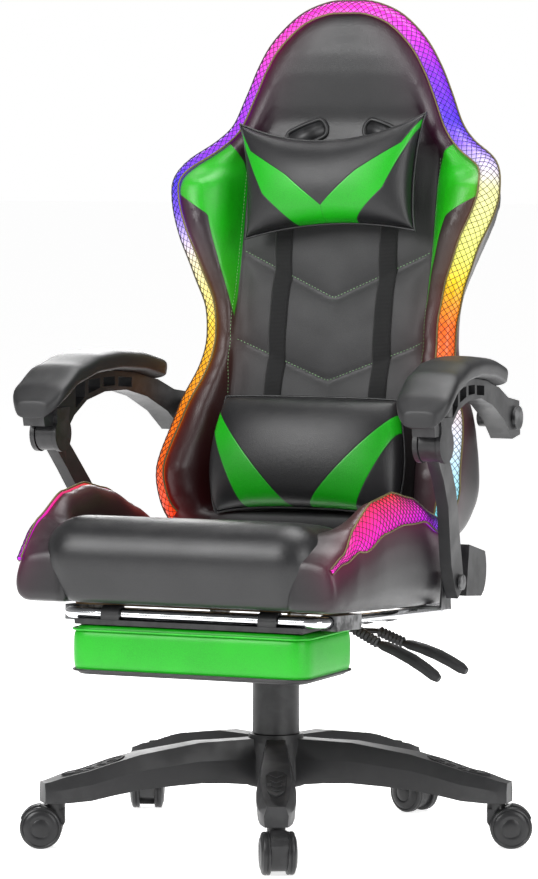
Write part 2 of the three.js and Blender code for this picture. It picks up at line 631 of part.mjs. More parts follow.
function pillow(p) {
  const rings = [];
  const levels = [-1, -0.94, -0.72, -0.38, 0, 0.38, 0.72, 0.94, 1];
  for (const s of levels) {
    const spread = Math.sqrt(Math.max(0, 1 - s * s)) ** 0.7;
    const ring = [];
    for (let i = 0; i < 20; i++) {
      const a = (Math.PI * 2 * i) / 20;
      const power = (c) => Math.sign(c) * Math.abs(c) ** 0.55;
      const w = (p.width / 2) * (0.3 + 0.7 * spread);
      const h = (p.height / 2) * (0.3 + 0.7 * spread);
      ring.push(new THREE.Vector3(w * power(Math.cos(a)),
        -(pillowGap + p.depth / 2 + (s * p.depth) / 2), p.at + h * power(Math.sin(a))));
    }
    rings.push(ring);
  }
  return loft(rings, ["x", "z"]);
}

function addBackrest(group) {
  add(group, "back_frame", backSteel(), blackSteel);
  add(group, "back_cushion", backFoam(), blackLeather);
  add(group, "back_light", backLight(), lightMesh);
  for (const [name, side] of [["right", -1], ["left", 1]]) {
    const x = side * strap.x;
    add(group, `back_strap_${name}`, box(x - strap.width / 2, x + strap.width / 2,
      -strap.thickness - gap, -gap, strap.bottom, strap.top), webbing);
    const [ry, rz] = inBack(arm.rearY, arm.rearZ);
    const span = (a, b) => (side > 0 ? [a, b] : [-b, -a]);
    const centre = arm.knuckleX + arm.splay * (arm.rearY - arm.knuckleY);
    const pin = joined(
      bar(14, ...span(227, centre - arm.bodyWidth / 2 - 1.5), ry, rz, 20),
      bar(arm.rearPin, ...span(centre - arm.bodyWidth / 2 - 4, centre + arm.bodyWidth / 2 + 4), ry, rz,
        16),
      bar(17.5, ...span(centre + arm.bodyWidth / 2 + 2.5, centre + arm.bodyWidth / 2 + 7), ry, rz, 24),
    );
    add(group, `arm_rear_pin_${name}`, pin, blackSteel);
  }
  add(group, "head_pillow", pillow(headPillow), blackLeather);
  add(group, "lumbar_pillow", pillow(lumbarPillow), blackLeather);
}

// a point of the upright chair, in the leaning back's own frame
function inBack(y, z) {
  const a = rad(recline.lean);
  const dy = y - recline.y;
  const dz = z - recline.z;
  return [dy * Math.cos(a) - dz * Math.sin(a), dy * Math.sin(a) + dz * Math.cos(a)];
}

function addReclineLever(group) {
  const [hy, hz] = inSeat(recline.y, recline.z);
  const rings = [0, 20, 45, 68, 80].map((s) =>
    roundedRing(s === 80 ? 12 : 20, 10, 4, 2).map(([y, x]) => new THREE.Vector3(-271 - x - s * 0.06,
      hy - 8 - s, hz + 6 + y - s * 0.12)));
  const boss = bar(14, -274, -263.5, hy, hz, 24);
  add(group, "recline_lever", joined(loft(rings, ["x", "z"]), boss), blackNylon);
}

// ---------- armrests ----------
const padStations = [-188, -180, -160, -130, -95, -55, -10, 35, 80, 120, 138, 141];
const padUnder = [[-190, 607], [-165, 630], [-120, 654], [-60, 668], [0, 671], [60, 667], [141, 652]];

function strutShape() {
  const steps = [[-16, 0], [0, 0], [40, 0.06], [90, 0.3], [140, 0.62], [190, 0.84], [230, 0.95]];
  const from = v2(arm.pivotY, arm.pivotZ);
  const to = v2(arm.knuckleY, arm.knuckleZ);
  const length = from.distanceTo(to);
  const dir = to.clone().sub(from).normalize();
  const bow = (s) => 16 * Math.sin((Math.PI * Math.max(0, s)) / length);
  const rings = steps.map(([s, share]) => {
    const middle = from.clone().addScaledVector(dir, s).add(v2(dir.y, -dir.x).multiplyScalar(bow(s)));
    const x = THREE.MathUtils.lerp(arm.strutX, arm.knuckleX, share);
    const half = s < 1 ? 18 : THREE.MathUtils.lerp(22, 16, share);
    return boxRing(arm.strutThickness, half * 2).map(([dx, w]) => new THREE.Vector3(x + dx,
      middle.x + dir.y * w, middle.y - dir.x * w));
  });
  return { rings, dir };
}

function armFrameShape() {
  const shape = new THREE.Shape();
  padStations.slice(1).forEach((y, i) => (i ? shape.lineTo(y,
    follow(padUnder, y) - gap) : shape.moveTo(y, follow(padUnder, y) - gap)));
  shape.lineTo(190, 634);
  shape.lineTo(arm.rearY + 24, arm.rearZ + 24);
  shape.lineTo(arm.rearY + 30, arm.rearZ - 26);
  shape.lineTo(arm.rearY - 12, arm.rearZ - 30);
  [[170, 602], [110, 627], [50, 640], [-10, 640], [-60, 630], [-95, 610],
    [-112, 592]].forEach(([y, z]) => shape.lineTo(y, z));
  shape.lineTo(-150, 598);
  shape.lineTo(-176, 598);
  for (const [a, b, lift] of [[-92, -66, 0], [-56, -24, 2], [-14, 18, 2], [28, 66, 0]]) {
    const under = (y) => follow([[-112, 605], [-95, 618], [-60, 637], [-10, 646], [50, 646],
      [110, 634]], y);
    const over = (y) => follow(padUnder, y) - 9;
    const window = new THREE.Path([v2(a, under(a) + lift), v2(b, under(b) + lift), v2(b, over(b)),
      v2(a, over(a))]);
    shape.holes.push(window);
  }
  return shape;
}

function armBody(side) {
  const half = arm.bodyWidth / 2;
  const body = plate(armFrameShape(), -half, half);
  const shear = new THREE.Matrix4().set(1, arm.splay, 0, arm.knuckleX - arm.splay * arm.knuckleY, 0, 1,
    0, 0, 0, 0, 1, 0, 0, 0, 0, 1);
  body.applyMatrix4(shear);
  const { knuckleX: x, knuckleY: y, knuckleZ: z, barrelWidth, cheek, knuckleRadius: r } = arm;
  const inner = barrelWidth / 2 + 1;
  const saddle = box(x - inner - cheek, x + inner + cheek, y - 22, y + 20, z + r + 3, z + r + 14);
  const cheeks = [-inner - cheek, inner].map((dx) => bar(r + 2, x + dx, x + dx + cheek, y, z, 32));
  const webs = [-inner - cheek, inner].map((dx) => box(x + dx, x + dx + cheek, y - 20, y + 18, z,
    z + r + 8));
  const pin = bar(arm.pinRadius, x - inner - 1, x + inner + 1, y, z, 20);
  const barrelRoom = bar(r + 1.6, x - inner, x + inner, y, z, 32);
  const rearHole = bar(arm.rearHole, 150, 400, arm.rearY, arm.rearZ, 24);
  const whole = surface(
    solid(cut(joined(body, saddle, ...webs), barrelRoom, rearHole)).add(solid(joined(...cheeks, pin))),
  );
  return side > 0 ? whole : flipped(whole.scale(-1, 1, 1));
}

function armStrut(side) {
  const { rings } = strutShape();
  const { knuckleX: x, knuckleY: y, knuckleZ: z, barrelWidth, knuckleRadius: r } = arm;
  const barrel = bar(r, x - barrelWidth / 2, x + barrelWidth / 2, y, z, 32);
  const pinRoom = bar(arm.pinRadius + runGap, x - 40, x + 40, y, z, 20);
  const footRoom = bar(arm.pinRadius + runGap, arm.strutX - 40, arm.strutX + 40, arm.pivotY, arm.pivotZ,
    20);
  const whole = cut(joined(loft(rings, ["x", "y"]), barrel), pinRoom, footRoom);
  return side > 0 ? whole : flipped(whole.scale(-1, 1, 1));
}

function armPad(side) {
  const rings = padStations.map((y) => {
    const end = y === -188 || y === 141;
    const width = arm.padWidth - (end ? 24 : y < -170 ? 10 : 0) - Math.max(0, y) * 0.04;
    const thick = arm.padThickness - (end ? 12 : 0);
    const x = arm.knuckleX + arm.splay * (y - arm.knuckleY) - 3;
    const lift = follow(padUnder, y) + gap + arm.padThickness / 2;
    return roundedRing(width, thick, 8, 2).map(([dx, dz]) => new THREE.Vector3(x + dx, y, lift + dz));
  });
  const whole = loft(rings, ["x", "z"]);
  return side > 0 ? whole : flipped(whole.scale(-1, 1, 1));
}

function addArms(group) {
  for (const [name, side] of [["right", -1], ["left", 1]]) {
    add(group, `arm_strut_${name}`, armStrut(side), blackNylon);
    add(group, `arm_body_${name}`, armBody(side), blackNylon);
    add(group, `arm_pad_${name}`, armPad(side), blackLeather);
  }
}

// ---------- the chair ----------
const baseFrame = frameAt(chair, 0, 0, 0, 0, base.turn);
add(baseFrame, "star_base", starBase(), blackNylon);
addCasters(baseFrame);
addColumn(chair);
addMechanism(chair);
addLever(chair, "height_lever", lever.height);
addLever(chair, "tilt_lever", lever.tilt);
addSeatPan(seatFrame);
add(seatFrame, "seat_cushion", seatCushion(), blackLeather);
addSeatSides(seatFrame);
addHinges(seatFrame);
addReclineLever(seatFrame);
addFootrest(seatFrame);
addBackrest(backFrame);
addArms(chair);

export default chair;
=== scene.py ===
import json
from math import cos, exp, hypot, pi, radians, sin, sqrt

import bmesh
import bpy
from mathutils import Matrix, Vector
from mathutils.bvhtree import BVHTree

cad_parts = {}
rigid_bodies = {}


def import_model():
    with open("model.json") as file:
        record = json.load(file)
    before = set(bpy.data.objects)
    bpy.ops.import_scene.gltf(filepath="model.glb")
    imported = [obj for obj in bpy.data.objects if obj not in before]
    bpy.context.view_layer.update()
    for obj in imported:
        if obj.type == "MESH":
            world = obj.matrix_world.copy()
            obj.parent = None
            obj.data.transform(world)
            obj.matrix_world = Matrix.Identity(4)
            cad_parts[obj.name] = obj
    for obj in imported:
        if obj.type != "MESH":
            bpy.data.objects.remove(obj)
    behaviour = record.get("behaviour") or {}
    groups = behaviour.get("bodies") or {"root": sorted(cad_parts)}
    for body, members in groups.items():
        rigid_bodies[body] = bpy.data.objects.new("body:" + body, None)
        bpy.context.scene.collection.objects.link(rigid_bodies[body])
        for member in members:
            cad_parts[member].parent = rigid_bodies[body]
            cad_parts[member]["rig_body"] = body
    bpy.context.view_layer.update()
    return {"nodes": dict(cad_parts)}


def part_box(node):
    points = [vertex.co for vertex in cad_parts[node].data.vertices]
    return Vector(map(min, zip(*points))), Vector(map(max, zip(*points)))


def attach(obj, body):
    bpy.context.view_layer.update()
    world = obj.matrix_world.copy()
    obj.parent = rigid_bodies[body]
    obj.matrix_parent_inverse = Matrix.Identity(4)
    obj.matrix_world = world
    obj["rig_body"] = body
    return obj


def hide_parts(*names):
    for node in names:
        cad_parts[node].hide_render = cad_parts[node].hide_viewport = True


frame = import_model()
print("chair: frame loaded")

# the chair's three frames: metres, x across, y back, z up
columnX = sum(corner.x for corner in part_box("gas_rod")) / 2
chairFrame = Matrix.Translation((columnX, 0, 0))
seatFrame = chairFrame @ Matrix.Translation((0, 0, 0.345)) @ Matrix.Rotation(radians(-3), 4, "X")
backFrame = chairFrame @ Matrix.Translation((0, 0.135, 0.398)) @ Matrix.Rotation(radians(-11), 4, "X")
mm = 0.001


# small tools
def ease(value, low, high):
    share = min(1.0, max(0.0, (value - low) / (high - low)))
    return share * share * (3 - 2 * share)


def follow(table, at):
    if at <= table[0][0]:
        return table[0][1]
    for (a, valueA), (b, valueB) in zip(table, table[1:]):
        if at <= b:
            share = (at - a) / (b - a)
            return valueA + (valueB - valueA) * (0.5 * share * share * (3 - 2 * share) + 0.5 * share)
    return table[-1][1]


def mix(a, b, share):
    return a + (b - a) * share


def colourAt(stops, at):
    if at <= stops[0][0]:
        return stops[0][1]
    for (a, first), (b, second) in zip(stops, stops[1:]):
        if at <= b:
            share = (at - a) / (b - a)
            return tuple(mix(first[i], second[i], share) for i in range(3))
    return stops[-1][1]


def smoothLine(points, steps=14):
    # a spline through 2-D points, with its ends kept
    out = []
    last = len(points) - 1
    for index in range(last):
        p0, p1, p2, p3 = (points[min(max(index + k, 0), last)] for k in (-1, 0, 1, 2))
        for step in range(steps):
            s = step / steps
            place = []
            for axis in (0, 1):
                v0, v1 = (p2[axis] - p0[axis]) / 2, (p3[axis] - p1[axis]) / 2
                place.append(((2 * p1[axis] - 2 * p2[axis] + v0 + v1) * s ** 3
                              + (3 * p2[axis] - 3 * p1[axis] - 2 * v0 - v1) * s * s + v0 * s + p1[axis]))
            out.append(tuple(place))
    out.append(tuple(points[-1]))
    return out


def evenly(points, count):
    lengths = [0.0]
    for a, b in zip(points, points[1:]):
        lengths.append(lengths[-1] + hypot(*(q - p for p, q in zip(a, b))))
    out, k = [], 0
    for step in range(count + 1):
        goal = lengths[-1] * step / count
        while k < len(points) - 2 and lengths[k + 1] < goal:
            k += 1
        span = lengths[k + 1] - lengths[k] or 1
        share = (goal - lengths[k]) / span
        out.append(tuple(mix(p, q, share) for p, q in zip(points[k], points[k + 1])))
    return out


def finishMesh(bm, name, place=None):
    bmesh.ops.remove_doubles(bm, verts=bm.verts, dist=1e-5)
    bmesh.ops.recalc_face_normals(bm, faces=bm.faces)
    mesh = bpy.data.meshes.new(name)
    bm.to_mesh(mesh)
    bm.free()
    mesh.shade_smooth()
    piece = bpy.data.objects.new(name, mesh)
    bpy.context.scene.collection.objects.link(piece)
    if place is not None:
        mesh.transform(place)
    return piece


def keepLayout(piece):
    # remembers each point's place in the part's own frame, in metres, for patterns that lie on it
    mesh = piece.data
    layer = mesh.attributes.get("layout") or mesh.attributes.new("layout", "FLOAT_VECTOR", "POINT")
    flat = [0.0] * (3 * len(mesh.vertices))
    mesh.vertices.foreach_get("co", flat)
    layer.data.foreach_set("vector", flat)


def paint(piece, colourOf, name="glow"):
    layer = piece.data.attributes.get(name) or piece.data.attributes.new(name, "FLOAT_COLOR", "POINT")
    for vertex, value in zip(piece.data.vertices, layer.data):
        value.color = (*colourOf(vertex.co), 1)


def gridSkin(name, columns, rows, place, uv=False, loop=False):
    # a flat grid, moved point by point onto a surface; u runs along, v across
    bm = bmesh.new()
    if uv:
        bm.loops.layers.uv.new("weave")
    bmesh.ops.create_grid(bm, x_segments=columns, y_segments=rows, size=1, calc_uvs=uv)
    for vertex in bm.verts:
        vertex.co = place((vertex.co.x + 1) / 2, (vertex.co.y + 1) / 2)
    return finishMesh(bm, name)


def ringSkin(name, rings, closeEnds=True):
    # rings of equal length, pulled out one from the other
    bm = bmesh.new()
    made = bmesh.ops.create_circle(bm, segments=len(rings[0]), radius=1)["verts"]
    for vertex, point in zip(made, rings[0]):
        vertex.co = point
    edges = list(bm.edges)
    first = edges
    for ring in rings[1:]:
        grown = bmesh.ops.extrude_edge_only(bm, edges=edges)["geom"]
        edges = [item for item in grown if isinstance(item, bmesh.types.BMEdge)]
        verts = [item for item in grown if isinstance(item, bmesh.types.BMVert)]
        for vertex, point in zip(verts, ring):
            vertex.co = point
    if closeEnds:
        bmesh.ops.contextual_create(bm, geom=first)
        bmesh.ops.contextual_create(bm, geom=edges)
    return finishMesh(bm, name)


def roundTube(name, points, radius, sides=10, closed=False):
    # a round bar along a line of points
    points = [Vector(point) for point in points]
    count = len(points)
    rings = []
    side = None
    for index, point in enumerate(points):
        ahead = points[(index + 1) % count] if closed or index < count - 1 else point
        behind = points[index - 1] if closed or index > 0 else point
        along = (ahead - behind).normalized()
        if side is None:
            side = along.orthogonal().normalized()
        side = (side - along * side.dot(along)).normalized()
        up = along.cross(side)
        size = radius(index / (count - 1)) if callable(radius) else radius
        rings.append([point + (side * cos(2 * pi * k / sides) + up * sin(2 * pi * k / sides)) * size
                      for k in range(sides)])
    if closed:
        rings.append(rings[0])
    return ringSkin(name, rings, closeEnds=not closed)


def lathe(name, profile, place=None, steps=40):
    # a profile of (radius, height), spun about z
    bm = bmesh.new()
    verts = [bm.verts.new((radius, 0, height)) for radius, height in profile]
    edges = [bm.edges.new(pair) for pair in zip(verts, verts[1:])]
    bmesh.ops.spin(bm, geom=verts + edges, cent=(0, 0, 0), axis=(0, 0, 1), angle=2 * pi, steps=steps,
                   use_merge=True)
    return finishMesh(bm, name, place)


def apply(piece):
    bpy.context.view_layer.update()
    graph = bpy.context.evaluated_depsgraph_get()
    mesh = bpy.data.meshes.new_from_object(piece.evaluated_get(graph))
    old = piece.data
    piece.modifiers.clear()
    piece.data = mesh
    bpy.data.meshes.remove(old)


def remesh(piece, size):
    change = piece.modifiers.new("remesh", "REMESH")
    change.mode = "VOXEL"
    change.voxel_size = size
    change.use_smooth_shade = True
    apply(piece)


def relax(piece, times, factor=0.5):
    bm = bmesh.new()
    bm.from_mesh(piece.data)
    for _ in range(times):
        bmesh.ops.smooth_vert(bm, verts=bm.verts, factor=factor, use_axis_x=True, use_axis_y=True,
                              use_axis_z=True)
    bm.to_mesh(piece.data)
    bm.free()


def puff(piece, heldShare, pressure=4.0, cap=0.014, frames=20):
    # the stuffing: pressure swells the cover where it isn't held down, by no more than the cap
    start = [vertex.co.copy() for vertex in piece.data.vertices]
    group = piece.vertex_groups.new(name="held")
    for vertex in piece.data.vertices:
        group.add([vertex.index], heldShare(vertex.co), "REPLACE")
    cloth = piece.modifiers.new("stuffing", "CLOTH")
    cloth.settings.quality = 4
    cloth.settings.mass = 0.35
    cloth.settings.tension_stiffness = 12
    cloth.settings.compression_stiffness = 12
    cloth.settings.shear_stiffness = 6
    cloth.settings.bending_stiffness = 1.5
    cloth.settings.use_pressure = True
    cloth.settings.uniform_pressure_force = pressure
    cloth.settings.vertex_group_mass = "held"
    cloth.settings.effector_weights.gravity = 0
    cloth.collision_settings.use_collision = False
    cloth.point_cache.frame_start = 1
    cloth.point_cache.frame_end = frames
    scene = bpy.context.scene
    for step in range(1, frames + 1):
        scene.frame_set(step)
    apply(piece)
    scene.frame_set(1)
    for vertex, origin in zip(piece.data.vertices, start):
        shift = vertex.co - origin
        if shift.length > cap:
            vertex.co = origin + shift * (cap / shift.length)
    piece.vertex_groups.clear()


def finish(piece, body, material, slot, place=None, stands=(), soft=0):
    # the last steps that every new piece shares
    if place is not None:
        piece.data.transform(place)
    if not piece.data.materials:
        piece.data.materials.append(material)
    if soft:
        change = piece.modifiers.new("soft edges", "SUBSURF")
        change.levels = change.render_levels = soft
    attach(piece, body)
    if stands:
        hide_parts(*stands)
    return piece


def joinPieces(name, pieces):
    # several shapes become one piece
    bm = bmesh.new()
    for piece in pieces:
        bm.from_mesh(piece.data)
    for piece in pieces:
        mesh = piece.data
        bpy.data.objects.remove(piece)
        bpy.data.meshes.remove(mesh)
    mesh = bpy.data.meshes.new(name)
    bm.to_mesh(mesh)
    bm.free()
    mesh.shade_smooth()
    piece = bpy.data.objects.new(name, mesh)
    bpy.context.scene.collection.objects.link(piece)
    return piece


# material tools
def addNode(tree, kind, inputs=None, **settings):
    node = tree.nodes.new("ShaderNode" + kind)
    for key, value in settings.items():
        setattr(node, key, value)
    for key, value in (inputs or {}).items():
        if isinstance(value, bpy.types.NodeSocket):
            tree.links.new(value, node.inputs[key])
        else:
            node.inputs[key].default_value = value
    return node


def calc(tree, operation, *values, clamp=False):
    return addNode(tree, "Math", dict(enumerate(values)), operation=operation, use_clamp=clamp).outputs[0]


def blendColour(tree, share, first, second):
    return addNode(tree, "Mix", {0: share, 6: first, 7: second}, data_type="RGBA").outputs[2]


def remap(tree, value, low, high, toLow=0.0, toHigh=1.0, smooth=True):
    return addNode(tree, "MapRange", {0: value, 1: low, 2: high, 3: toLow, 4: toHigh},
                   interpolation_type="SMOOTHSTEP" if smooth else "LINEAR").outputs[0]


def newGroup(name, inputs, outputs):
    tree = bpy.data.node_groups.new(name, "ShaderNodeTree")
    for label, kind, value in inputs:
        socket = tree.interface.new_socket(name=label, in_out="INPUT", socket_type="NodeSocket" + kind)
        if value is not None:
            socket.default_value = value
    for label, kind in outputs:
        tree.interface.new_socket(name=label, in_out="OUTPUT", socket_type="NodeSocket" + kind)
    return tree, tree.nodes.new("NodeGroupInput").outputs, tree.nodes.new("NodeGroupOutput").inputs


def useGroup(tree, group, inputs):
    node = tree.nodes.new("ShaderNodeGroup")
    node.node_tree = group
    for key, value in inputs.items():
        if isinstance(value, bpy.types.NodeSocket):
            tree.links.new(value, node.inputs[key])
        else:
            node.inputs[key].default_value = value
    return node.outputs


def makeLeatherGrain():
    # pebbled cells with fine pores; height for bump, tone for colour and gloss
    tree, given, out = newGroup("leatherGrain", [("Vector", "Vector", None), ("Cell", "Float", 0.0016)],
                                [("Height", "Float"), ("Tone", "Float")])
    size = calc(tree, "DIVIDE", 1.0, given["Cell"])
    wander = addNode(tree, "TexNoise", {"Vector": given["Vector"], "Scale": 90.0, "Detail": 2.0})
    shifted = addNode(tree, "VectorMath", {0: wander.outputs["Color"],
                      1: (0.0012, 0.0012, 0.0012)}, operation="MULTIPLY").outputs[0]
    moved = addNode(tree, "VectorMath", {0: given["Vector"], 1: shifted}, operation="ADD").outputs[0]
    cells = addNode(tree, "TexVoronoi", {"Vector": moved, "Scale": size}, feature="DISTANCE_TO_EDGE")
    pores = addNode(tree, "TexNoise", {"Vector": moved, "Scale": 2400.0, "Detail": 2.0})
    pebble = remap(tree, cells.outputs["Distance"], 0.0, 0.32)
    height = calc(tree, "MULTIPLY_ADD", pores.outputs["Fac"], 0.25, calc(tree, "MULTIPLY", pebble, 0.75))
    cloud = addNode(tree, "TexNoise", {"Vector": given["Vector"], "Scale": 14.0, "Detail": 4.0})
    tree.links.new(height, out["Height"])
    tree.links.new(calc(tree, "MULTIPLY_ADD", pebble, 0.3, calc(tree, "MULTIPLY",
                   cloud.outputs["Fac"], 0.7)), out["Tone"])
    return tree


def makeMouldedSkin():
    # spark-eroded plastic: a fine even texture with slow changes in gloss
    tree, given, out = newGroup("mouldedSkin", [("Vector", "Vector", None), ("Cell", "Float", 0.0009)],
                                [("Height", "Float"), ("Tone", "Float")])
    size = calc(tree, "DIVIDE", 1.0, given["Cell"])
    fine = addNode(tree, "TexNoise", {"Vector": given["Vector"], "Scale": size, "Detail": 3.0,
                                      "Roughness": 0.6})
    slow = addNode(tree, "TexNoise", {"Vector": given["Vector"], "Scale": 22.0, "Detail": 4.0})
    tree.links.new(fine.outputs["Fac"], out["Height"])
    tree.links.new(slow.outputs["Fac"], out["Tone"])
    return tree


def makeEdgeRub():
    # lighter, smoother paint or skin on outer corners, broken up by a noise
    tree, given, out = newGroup("edgeRub", [("Vector", "Vector", None), ("Amount", "Float", 0.4)],
                                [("Mask", "Float")])
    corner = addNode(tree, "NewGeometry").outputs["Pointiness"]
    patch = addNode(tree, "TexNoise", {"Vector": given["Vector"], "Scale": 60.0, "Detail": 5.0})
    sharp = remap(tree, corner, 0.51, 0.60)
    broken = remap(tree, patch.outputs["Fac"], 0.38, 0.62)
    tree.links.new(calc(tree, "MULTIPLY", calc(tree, "MULTIPLY", sharp, broken), given["Amount"]),
                   out["Mask"])
    return tree


def makeDust():
    # a thin film that settles on faces that look up
    tree, given, out = newGroup("settledDust", [("Vector", "Vector", None), ("Amount", "Float", 0.1)],
                                [("Mask", "Float")])
    facing = addNode(tree, "SeparateXYZ", {0: addNode(tree, "NewGeometry").outputs["Normal"]}).outputs[2]
    cloud = addNode(tree, "TexNoise", {"Vector": given["Vector"], "Scale": 35.0, "Detail": 6.0})
    up = remap(tree, facing, 0.35, 1.0)
    film = remap(tree, cloud.outputs["Fac"], 0.35, 0.75)
    tree.links.new(calc(tree, "MULTIPLY", calc(tree, "MULTIPLY", up, film), given["Amount"]), out["Mask"])
    return tree


leatherGrain, mouldedSkin = makeLeatherGrain(), makeMouldedSkin()
edgeRub, settledDust = makeEdgeRub(), makeDust()


def newMaterial(name, roughness=0.4, **sockets):
    material = bpy.data.materials.new(name)
    material.use_nodes = True
    tree = material.node_tree
    shader = tree.nodes["Principled BSDF"]
    shader.inputs["Roughness"].default_value = roughness
    for key, value in sockets.items():
        shader.inputs[key].default_value = value
    where = addNode(tree, "TexCoord").outputs["Object"]
    return material, tree, shader, where


def wire(tree, value, shader, name):
    tree.links.new(value, shader.inputs[name])


def leather(name, colour, deep, roughness=0.34, cell=0.0016, bump=0.16, glow=False):
    material, tree, shader, where = newMaterial(name, **{"Specular IOR Level": 0.5})
    grain = useGroup(tree, leatherGrain, {"Vector": where, "Cell": cell})
    rub = useGroup(tree, edgeRub, {"Vector": where, "Amount": 0.35})
    dust = useGroup(tree, settledDust, {"Vector": where, "Amount": 0.05})
    base = blendColour(tree, remap(tree, grain["Tone"], 0.25, 0.75), (*deep, 1), (*colour, 1))
    light = tuple(min(1, c * 1.5 + 0.015) for c in colour)
    base = blendColour(tree, rub["Mask"], base, (*light, 1))
    base = blendColour(tree, dust["Mask"], base, (0.35, 0.34, 0.33, 1))
    wire(tree, base, shader, "Base Color")
    wire(tree, remap(tree, grain["Tone"], 0.2, 0.8, roughness + 0.05, roughness - 0.05), shader, "Roughness")
    bumped = addNode(tree, "Bump", {"Strength": bump, "Distance": 0.0006, "Height": grain["Height"]})
    wire(tree, bumped.outputs[0], shader, "Normal")
    if glow:
        wire(tree, addNode(tree, "Attribute", attribute_name="glow").outputs["Color"], shader,
             "Emission Color")
        shader.inputs["Emission Strength"].default_value = 1.0
    return material


def plastic(name, colour, roughness=0.42, cell=0.0009, bump=0.12):
    material, tree, shader, where = newMaterial(name, **{"Specular IOR Level": 0.45})
    skin = useGroup(tree, mouldedSkin, {"Vector": where, "Cell": cell})
    rub = useGroup(tree, edgeRub, {"Vector": where, "Amount": 0.5})
    dust = useGroup(tree, settledDust, {"Vector": where, "Amount": 0.06})
    base = blendColour(tree, rub["Mask"], (*colour, 1), (*(c * 2.2 + 0.02 for c in colour), 1))
    base = blendColour(tree, dust["Mask"], base, (0.35, 0.34, 0.33, 1))
    wire(tree, base, shader, "Base Color")
    wire(tree, remap(tree, skin["Tone"], 0.3, 0.7, roughness - 0.06, roughness + 0.07), shader, "Roughness")
    bumped = addNode(tree, "Bump", {"Strength": bump, "Distance": 0.0003, "Height": skin["Height"]})
    wire(tree, bumped.outputs[0], shader, "Normal")
    return material


def metal(name, colour, roughness, paint=None):
    material, tree, shader, where = newMaterial(name)
    skin = useGroup(tree, mouldedSkin, {"Vector": where, "Cell": 0.0022})
    rub = useGroup(tree, edgeRub, {"Vector": where, "Amount": 0.7})
    if paint:
        wire(tree, blendColour(tree, rub["Mask"], (*paint, 1), (*colour, 1)), shader, "Base Color")
        wire(tree, rub["Mask"], shader, "Metallic")
    else:
        smear = remap(tree, skin["Tone"], 0.3, 0.75)
        wire(tree, blendColour(tree, smear, (*colour, 1), (*(c * 0.86 for c in colour), 1)), shader,
             "Base Color")
        shader.inputs["Metallic"].default_value = 1.0
    wire(tree, remap(tree, skin["Tone"], 0.3, 0.7, roughness * 0.8, roughness * 1.3), shader, "Roughness")
    bumped = addNode(tree, "Bump", {"Strength": 0.05 if not paint else 0.15, "Distance": 0.0002,
                                    "Height": skin["Height"]})
    wire(tree, bumped.outputs[0], shader, "Normal")
    return material


def webbingCloth():
    # ribbed strap: rows across the strap, dark with a soft sheen
    material, tree, shader, where = newMaterial("strapWebbing", **{"Specular IOR Level": 0.2,
                                                "Sheen Weight": 0.2, "Sheen Roughness": 0.5})
    place = addNode(tree, "Attribute", attribute_name="layout").outputs["Vector"]
    rows = addNode(tree, "TexWave", {"Vector": place, "Scale": 160.0, "Distortion": 0.6, "Detail": 1.0,
                                     "Detail Scale": 4.0}, bands_direction="Z")
    threads = addNode(tree, "TexWave", {"Vector": place, "Scale": 260.0, "Distortion": 0.3},
                      bands_direction="X")
    weave = calc(tree, "MULTIPLY", rows.outputs["Fac"], calc(tree, "MULTIPLY_ADD",
                 threads.outputs["Fac"], 0.5, 0.5))
    wire(tree, blendColour(tree, weave, (0.006, 0.006, 0.006, 1), (0.022, 0.022, 0.023, 1)), shader,
         "Base Color")
    shader.inputs["Roughness"].default_value = 0.8
    bumped = addNode(tree, "Bump", {"Strength": 0.5, "Distance": 0.0005, "Height": weave})
    wire(tree, bumped.outputs[0], shader, "Normal")
    return material


def plywoodSheet():
    material, tree, shader, where = newMaterial("plywoodSheet", roughness=0.6)
    stretch = addNode(tree, "Mapping", {"Vector": where, "Scale": (60.0, 6.0, 60.0)}).outputs[0]
    bands = addNode(tree, "TexNoise", {"Vector": stretch, "Scale": 1.0, "Detail": 6.0})
    colour = blendColour(tree, remap(tree, bands.outputs["Fac"], 0.35, 0.65), (0.30, 0.17, 0.07, 1),
                         (0.48, 0.31, 0.15, 1))
    wire(tree, colour, shader, "Base Color")
    bumped = addNode(tree, "Bump", {"Strength": 0.3, "Distance": 0.0004, "Height": bands.outputs["Fac"]})
    wire(tree, bumped.outputs[0], shader, "Normal")
    return material


def lampFilm():
    # the glowing film behind the net: hot in the middle, a little deeper at its seams
    material, tree, shader, where = newMaterial("lampFilm", roughness=0.35)
    shade = addNode(tree, "Attribute", attribute_name="glow").outputs["Color"]
    across = addNode(tree, "SeparateXYZ", {0: addNode(tree, "UVMap", uv_map="weave").outputs[0]}).outputs[1]
    offCentre = calc(tree, "ABSOLUTE", calc(tree, "MULTIPLY_ADD", across, 2.0, -1.0))
    middle = calc(tree, "SUBTRACT", 1.0, offCentre)
    rise = remap(tree, middle, 0.0, 0.5, 0.72, 1.0)
    ripple = addNode(tree, "TexNoise", {"Vector": where, "Scale": 45.0, "Detail": 2.0}).outputs["Fac"]
    level = calc(tree, "MULTIPLY", rise, remap(tree, ripple, 0.3, 0.7, 0.92, 1.05))
    lit = addNode(tree, "VectorMath", {0: shade, 3: level}, operation="SCALE").outputs[0]
    wire(tree, lit, shader, "Emission Color")
    shader.inputs["Emission Strength"].default_value = 1.0
    wire(tree, blendColour(tree, 0.75, shade, (0.02, 0.02, 0.02, 1)), shader, "Base Color")
    return material


